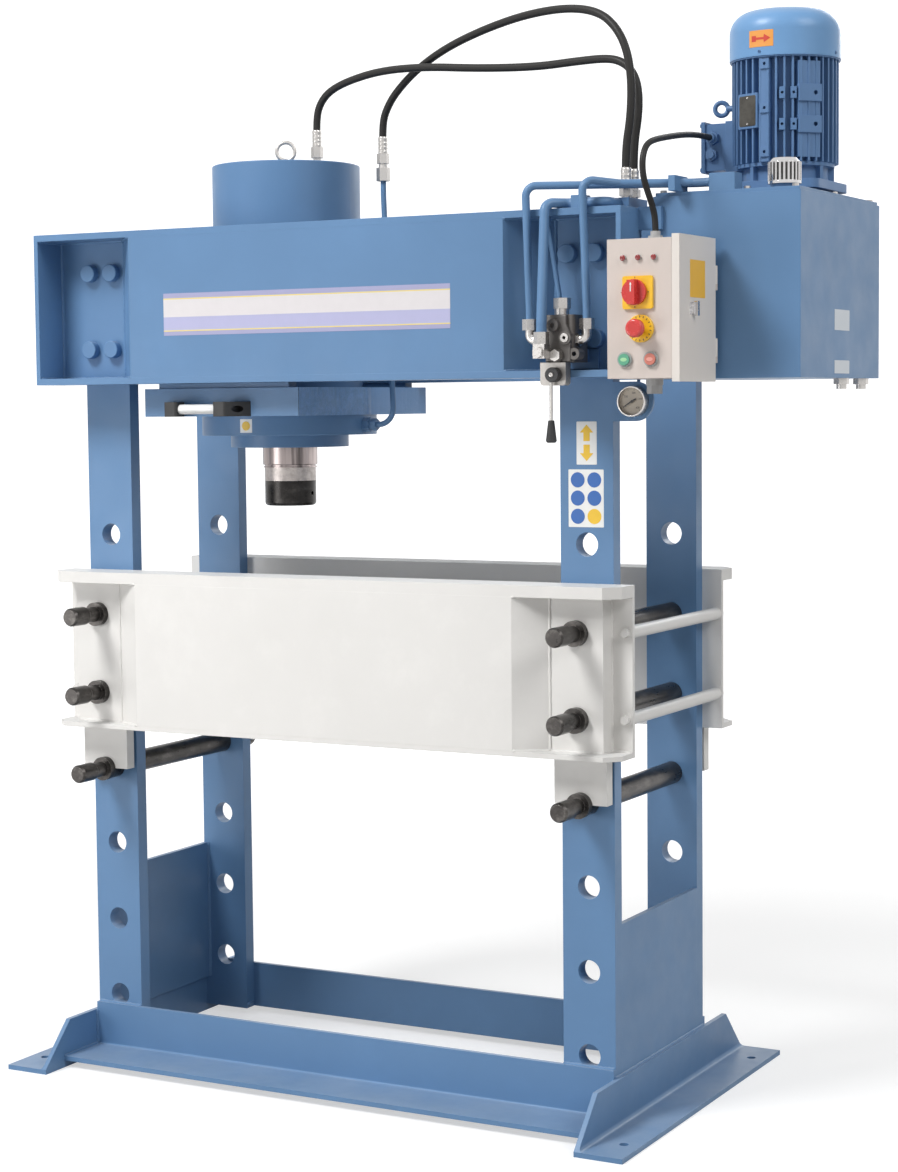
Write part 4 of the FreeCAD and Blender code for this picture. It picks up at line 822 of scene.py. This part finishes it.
COWL_SCREW_Z = 2474.5
for number, turn in enumerate((-97, -7, 83, 173)):
    spot = round_motor(turn, COWL_R - 0.5, COWL_SCREW_Z)
    screw("cowl_screw_%d" % number, spot, away_from_motor(spot), 4.0, material="motor")
PLATE_TURN = -113.0
PLATE_REACH = 123.5
PLATE_Z = 2345
PLATE_THICK = 0.8
RIVET_PAST = 29
PLATE_OUT = away_from_motor(round_motor(PLATE_TURN, 1.0, 0))
label("motor_nameplate", 50, 68, round_motor(PLATE_TURN, PLATE_REACH, PLATE_Z), "nameplate",
      direction=PLATE_OUT, corner=4, thick=PLATE_THICK)
for number, z in enumerate((PLATE_Z - RIVET_PAST, PLATE_Z + RIVET_PAST)):
    place = round_motor(PLATE_TURN, PLATE_REACH + PLATE_THICK, z)
    screw("nameplate_rivet_%d" % number, place, PLATE_OUT, 2.6)

LEVER_SCREW = (664, -431, 1754)
screw("lever_hub_screw", LEVER_SCREW, (0, -1, 0), 5.5, "lever")

FILLER = (1131.0, -207.0)
FLUTE_R = 34.4
FLUTE_DEPTH = 2
FLUTE_Z = (2176.0, 2214.0)
FLUTES = 24
FLUTE_SHARE = (0.53, 0.97)


def filler_flute_reflections():
    """Dark strips round the filler cap's rim, set close over its grip: painted dark reflections in its
    flutes.
    """
    bm = bmesh.new()
    for i in range(FLUTES):
        start, end = [2 * math.pi * (i + share) / FLUTES for share in FLUTE_SHARE]
        inner = FLUTE_R - FLUTE_DEPTH
        corners = ((start, inner), (end, inner), (end, FLUTE_R), (start, FLUTE_R))
        rings = [[(FILLER[0] + r * math.cos(t), FILLER[1] + r * math.sin(t), z) for t, r in corners]
                 for z in FLUTE_Z]
        add_rings(bm, rings, Matrix.Scale(MM, 4))
    finish_piece("filler_flute_reflections", bm, "sheet_dark", "filler", smooth=False)


filler_flute_reflections()
TANK_FACE = 1192.0
FIELD_Y = 3.5
for place, high, z in (("high", 47, 1873.5), ("low", 30, 1767)):
    label("tank_field_" + place, 103, high, (TANK_FACE, FIELD_Y, z), "sheet_pale", direction=(1, 0, 0))

# ---------------------------------------------------------------- control box and gauge
DOOR_FACE = 1003.0
BOX_FACE = -502.0
label("door_field", 85, 81, (DOOR_FACE, -400.5, 1956.5), "sheet_amber", body="door", direction=(1, 0, 0))
label("lock_plate", 34, 26, (DOOR_FACE, -430, 1892), "chrome", body="door", direction=(1, 0, 0), corner=6,
      thick=0.25)
LAMPS_X = (873.0, 908.6, 945.0)
LAMPS_Z = 2001
BUTTONS_Z = 1783
STOP = (914.0, 1849.0)
SWITCH = (902.0, 1927.0)
MARK = 0.3
LENS = [(6.3, 0), (6.3, 0.6), (5.6, 1.2), (3.2, 1.7), (0.3, 1.9)]
for number, x in enumerate(LAMPS_X):
    turned("lamp_lens_%d" % number, LENS, (x, BOX_FACE - 4.9, LAMPS_Z), (0, -1, 0), "lens", "frame", 32)
for body, x, tone in (("start", 876.0, "sheet_green"), ("off", 937.0, "sheet_rose")):
    sheet(body + "_field", oval(15, 8.5), (x, BOX_FACE - 9, BUTTONS_Z), tone, body)


def add_mark(bm, outline, place, up, thick):
    """Flat mark that looks to the front, turned so that its height runs along up."""
    add_rings(bm, [[(x, y, 0) for x, y in outline], [(x, y, thick) for x, y in outline]],
              placed(place, (0, -1, 0), up))


def ring_marks(name, centre, proud, radius, height, count):
    """Small dark marks at equal turns round a control, without any text."""
    bm = bmesh.new()
    outline = rounded(1.6, height, 0.4, 2)
    for i in range(count):
        t = 2 * math.pi * i / count
        up = (math.sin(t), 0, math.cos(t))
        spot = (centre[0] + radius * up[0], BOX_FACE - proud, centre[1] + radius * up[2])
        add_mark(bm, outline, spot, up, MARK)
    finish_piece(name, bm, "sheet_dark", "frame", smooth=False)


ring_marks("stop_marks", STOP, 8, 25.5, 4.5, 18)
ring_marks("switch_marks", SWITCH, 6, 31.5, 3.5, 4)
sheet("switch_pointer", arrow(20, 5.5, 5.5, 2.4), (SWITCH[0], BOX_FACE - 30, SWITCH[1] + 11),
      "sheet_white", "switch", thick=MARK)

GAUGE = (795.0, 1693.0)
DIAL_Y = -280.0
DIAL_THICK = 0.2
DIAL_R = 31.3
SWEEP = (211.0, -49.0)
TICKS = 40
TICK_THICK = 0.15
NUMBER_IN = 12.0
NEEDLE_Y = -285.0
NEEDLE_HALF = ((24, 0.3), (4, 1.7), (-9, 1.5))


def dial_turn(share):
    """Turn in radians at a share of the dial's sweep."""
    return math.radians(SWEEP[0] + (SWEEP[1] - SWEEP[0]) * share)


def on_dial(turn, radius, proud):
    """Point on the dial at a turn and a radius, and the direction outward."""
    out = (math.cos(turn), 0, math.sin(turn))
    return (GAUGE[0] + radius * out[0], DIAL_Y - proud, GAUGE[1] + radius * out[2]), out


def gauge_ticks():
    """Ticks of the dial, longer at each fifth and tenth."""
    bm = bmesh.new()
    for i in range(TICKS + 1):
        fifth = i % 5 == 0
        long = 5.5 if i % 10 == 0 else (4.2 if fifth else 2.6)
        place, out = on_dial(dial_turn(i / TICKS), DIAL_R - 1.5 - long / 2, DIAL_THICK)
        add_mark(bm, rounded(0.9 if fifth else 0.45, long, 0.15, 2), place, out, TICK_THICK)
    finish_piece("gauge_ticks", bm, "sheet_dark", "frame", smooth=False)


def needle_blade():
    """Tapered blade over the needle, which points at the dial's first tick."""
    cos, sin = math.cos(dial_turn(0)), math.sin(dial_turn(0))
    edge = list(NEEDLE_HALF) + [(reach, -half) for reach, half in reversed(NEEDLE_HALF)]
    outline = [(reach * cos + half * sin, reach * sin - half * cos) for reach, half in edge]
    sheet("needle_blade", outline, (GAUGE[0], NEEDLE_Y, GAUGE[1]), "black", "needle", thick=0.4)


def number_on_dial(value, turn):
    """Printed number of the gauge's scale, beside its long tick."""
    text = bpy.data.curves.new("dial_number", "FONT")
    text.body = value
    text.size = 6.4
    text.align_x = "CENTER"
    text.align_y = "CENTER"
    holder = bpy.data.objects.new("dial_number", text)
    mesh = bpy.data.meshes.new_from_object(holder)
    bpy.data.objects.remove(holder)
    bm = bmesh.new()
    bm.from_mesh(mesh)
    bpy.data.meshes.remove(mesh)
    bm.transform(placed(on_dial(turn, DIAL_R - NUMBER_IN, TICK_THICK + DIAL_THICK)[0], (0, -1, 0)))
    finish_piece("dial_number_" + value, bm, "sheet_dark", "frame", smooth=False)


sheet("gauge_dial", oval(2 * DIAL_R, 2 * DIAL_R, 64), (GAUGE[0], DIAL_Y, GAUGE[1]), "dial",
      thick=DIAL_THICK)
gauge_ticks()
needle_blade()
for i in range(5):
    number_on_dial(str(100 * i), dial_turn(i / 4))

# ---------------------------------------------------------------- studio
FLOOR_HALF = 22.0
FLOOR_NEAR = -14.0
CURVE_START = 7.0
CURVE_R = 3.0
CURVE_STEPS = 12
WALL_TOP = 12.0
FLOOR_TONE = 0.5
FLOOR_ROUGH = 0.9
FLOOR_GLOW = (0.55, 1.0)
FLOOR_FAR = (2.6, 5.5)
WORLD_LIGHT = 0.26
WORLD_SEEN = 0.97


def studio_floor():
    """Floor of pale paper that curves up into a wall, in metres."""
    profile = [(FLOOR_NEAR, 0.0), (CURVE_START, 0.0)]
    for i in range(1, CURVE_STEPS + 1):
        t = math.pi / 2 * i / CURVE_STEPS
        profile.append((CURVE_START + CURVE_R * math.sin(t), CURVE_R - CURVE_R * math.cos(t)))
    profile.append((CURVE_START + CURVE_R, WALL_TOP))
    mesh = bpy.data.meshes.new("studio_floor")
    bm = bmesh.new()
    left = [bm.verts.new((-FLOOR_HALF, y, z)) for y, z in profile]
    right = [bm.verts.new((FLOOR_HALF, y, z)) for y, z in profile]
    for i in range(len(profile) - 1):
        bm.faces.new((left[i], right[i], right[i + 1], left[i + 1]))
    bm.to_mesh(mesh)
    bm.free()
    obj = bpy.data.objects.new("studio_floor", mesh)
    bpy.context.scene.collection.objects.link(obj)
    for face in mesh.polygons:
        face.use_smooth = True
    return obj


def seen_directly(tree):
    """1 for what the camera, metal and glass see, and 0 for light that falls on the object."""
    paths = tree.nodes.new("ShaderNodeLightPath")
    value = paths.outputs["Is Camera Ray"]
    for name in ("Is Glossy Ray", "Is Transmission Ray"):
        node = tree.nodes.new("ShaderNodeMath")
        node.operation = "MAXIMUM"
        tree.links.new(value, node.inputs[0])
        tree.links.new(paths.outputs[name], node.inputs[1])
        value = node.outputs["Value"]
    return value


def studio_paper():
    """Pale paper that glows to white with its distance from the object, and keeps the shadow near it."""
    mat, tree, shader = new_material("studio_paper")
    shader.inputs["Base Color"].default_value = (FLOOR_TONE, FLOOR_TONE, FLOOR_TONE, 1)
    shader.inputs["Roughness"].default_value = FLOOR_ROUGH
    shader.inputs["Emission Color"].default_value = (1, 1, 1, 1)
    coords = tree.nodes.new("ShaderNodeTexCoord")
    reach = tree.nodes.new("ShaderNodeVectorMath")
    reach.operation = "LENGTH"
    tree.links.new(coords.outputs["Object"], reach.inputs[0])
    glow = spread(tree, reach.outputs["Value"], *FLOOR_GLOW, *FLOOR_FAR)
    tree.links.new(product(tree, seen_directly(tree), glow), shader.inputs["Emission Strength"])
    return mat


def studio_world():
    """White world that is seen near full strength and lights the object softly."""
    world = bpy.data.worlds.new("studio_world")
    bpy.context.scene.world = world
    world.use_nodes = True
    tree = world.node_tree
    background = tree.nodes["Background"]
    background.inputs["Color"].default_value = (1, 1, 1, 1)
    strength = spread(tree, seen_directly(tree), WORLD_LIGHT, WORLD_SEEN, 0.0, 1.0)
    tree.links.new(strength, background.inputs["Strength"])


def area_light(name, place, target, size, power):
    """Area light of a size in metres and a power in watts, turned to a target."""
    data = bpy.data.lights.new(name, "AREA")
    data.shape = "RECTANGLE"
    data.size, data.size_y = size
    data.energy = power
    lamp = bpy.data.objects.new(name, data)
    lamp.location = place
    lamp.rotation_euler = (Vector(target) - Vector(place)).to_track_quat("-Z", "Y").to_euler()
    bpy.context.scene.collection.objects.link(lamp)


floor = studio_floor()
floor.data.materials.append(studio_paper())
studio_world()
LAMPS = [("key", (-2.4, -5.0, 7.4), (0, 0, 1.2), (2.4, 2.4), 550),
         ("low", (-2.8, -4.5, 1.0), (-0.4, 0, 0.3), (2.0, 1.4), 55),
         ("fill", (7.5, -2.6, 7.0), (0.3, 0, 1.3), (4.0, 4.0), 300),
         ("rim", (0.8, 6.0, 4.5), (0, 0, 1.3), (2.5, 2.5), 110)]
for lamp in LAMPS:
    area_light(*lamp)

# ---------------------------------------------------------------- camera
YAW = math.radians(28.274)
PITCH = math.radians(4.384)
ROLL = math.radians(-0.5538)
CAMERA_PLACE = (2.9817, -5.2315, 1.6914)
LENS_MM = 72.99
SENSOR_MM = 36.0
CLIP_END = 100.0


def photo_camera():
    """Camera at the photograph's place, angle and lens."""
    heading = Vector((-math.sin(YAW) * math.cos(PITCH), math.cos(YAW) * math.cos(PITCH), -math.sin(PITCH)))
    across = Vector((math.cos(YAW), math.sin(YAW), 0))
    up = across.cross(heading)
    turned_across = across * math.cos(ROLL) + up * math.sin(ROLL)
    turned_up = -across * math.sin(ROLL) + up * math.cos(ROLL)
    data = bpy.data.cameras.new("camera")
    data.sensor_width = SENSOR_MM
    data.sensor_fit = "AUTO"
    data.lens = LENS_MM
    data.clip_end = CLIP_END
    camera = bpy.data.objects.new("camera", data)
    turn = Matrix((turned_across, turned_up, -heading)).transposed().to_4x4()
    camera.matrix_world = Matrix.Translation(CAMERA_PLACE) @ turn
    bpy.context.scene.collection.objects.link(camera)
    bpy.context.scene.camera = camera


photo_camera()
bpy.context.scene.view_settings.view_transform = "Standard"
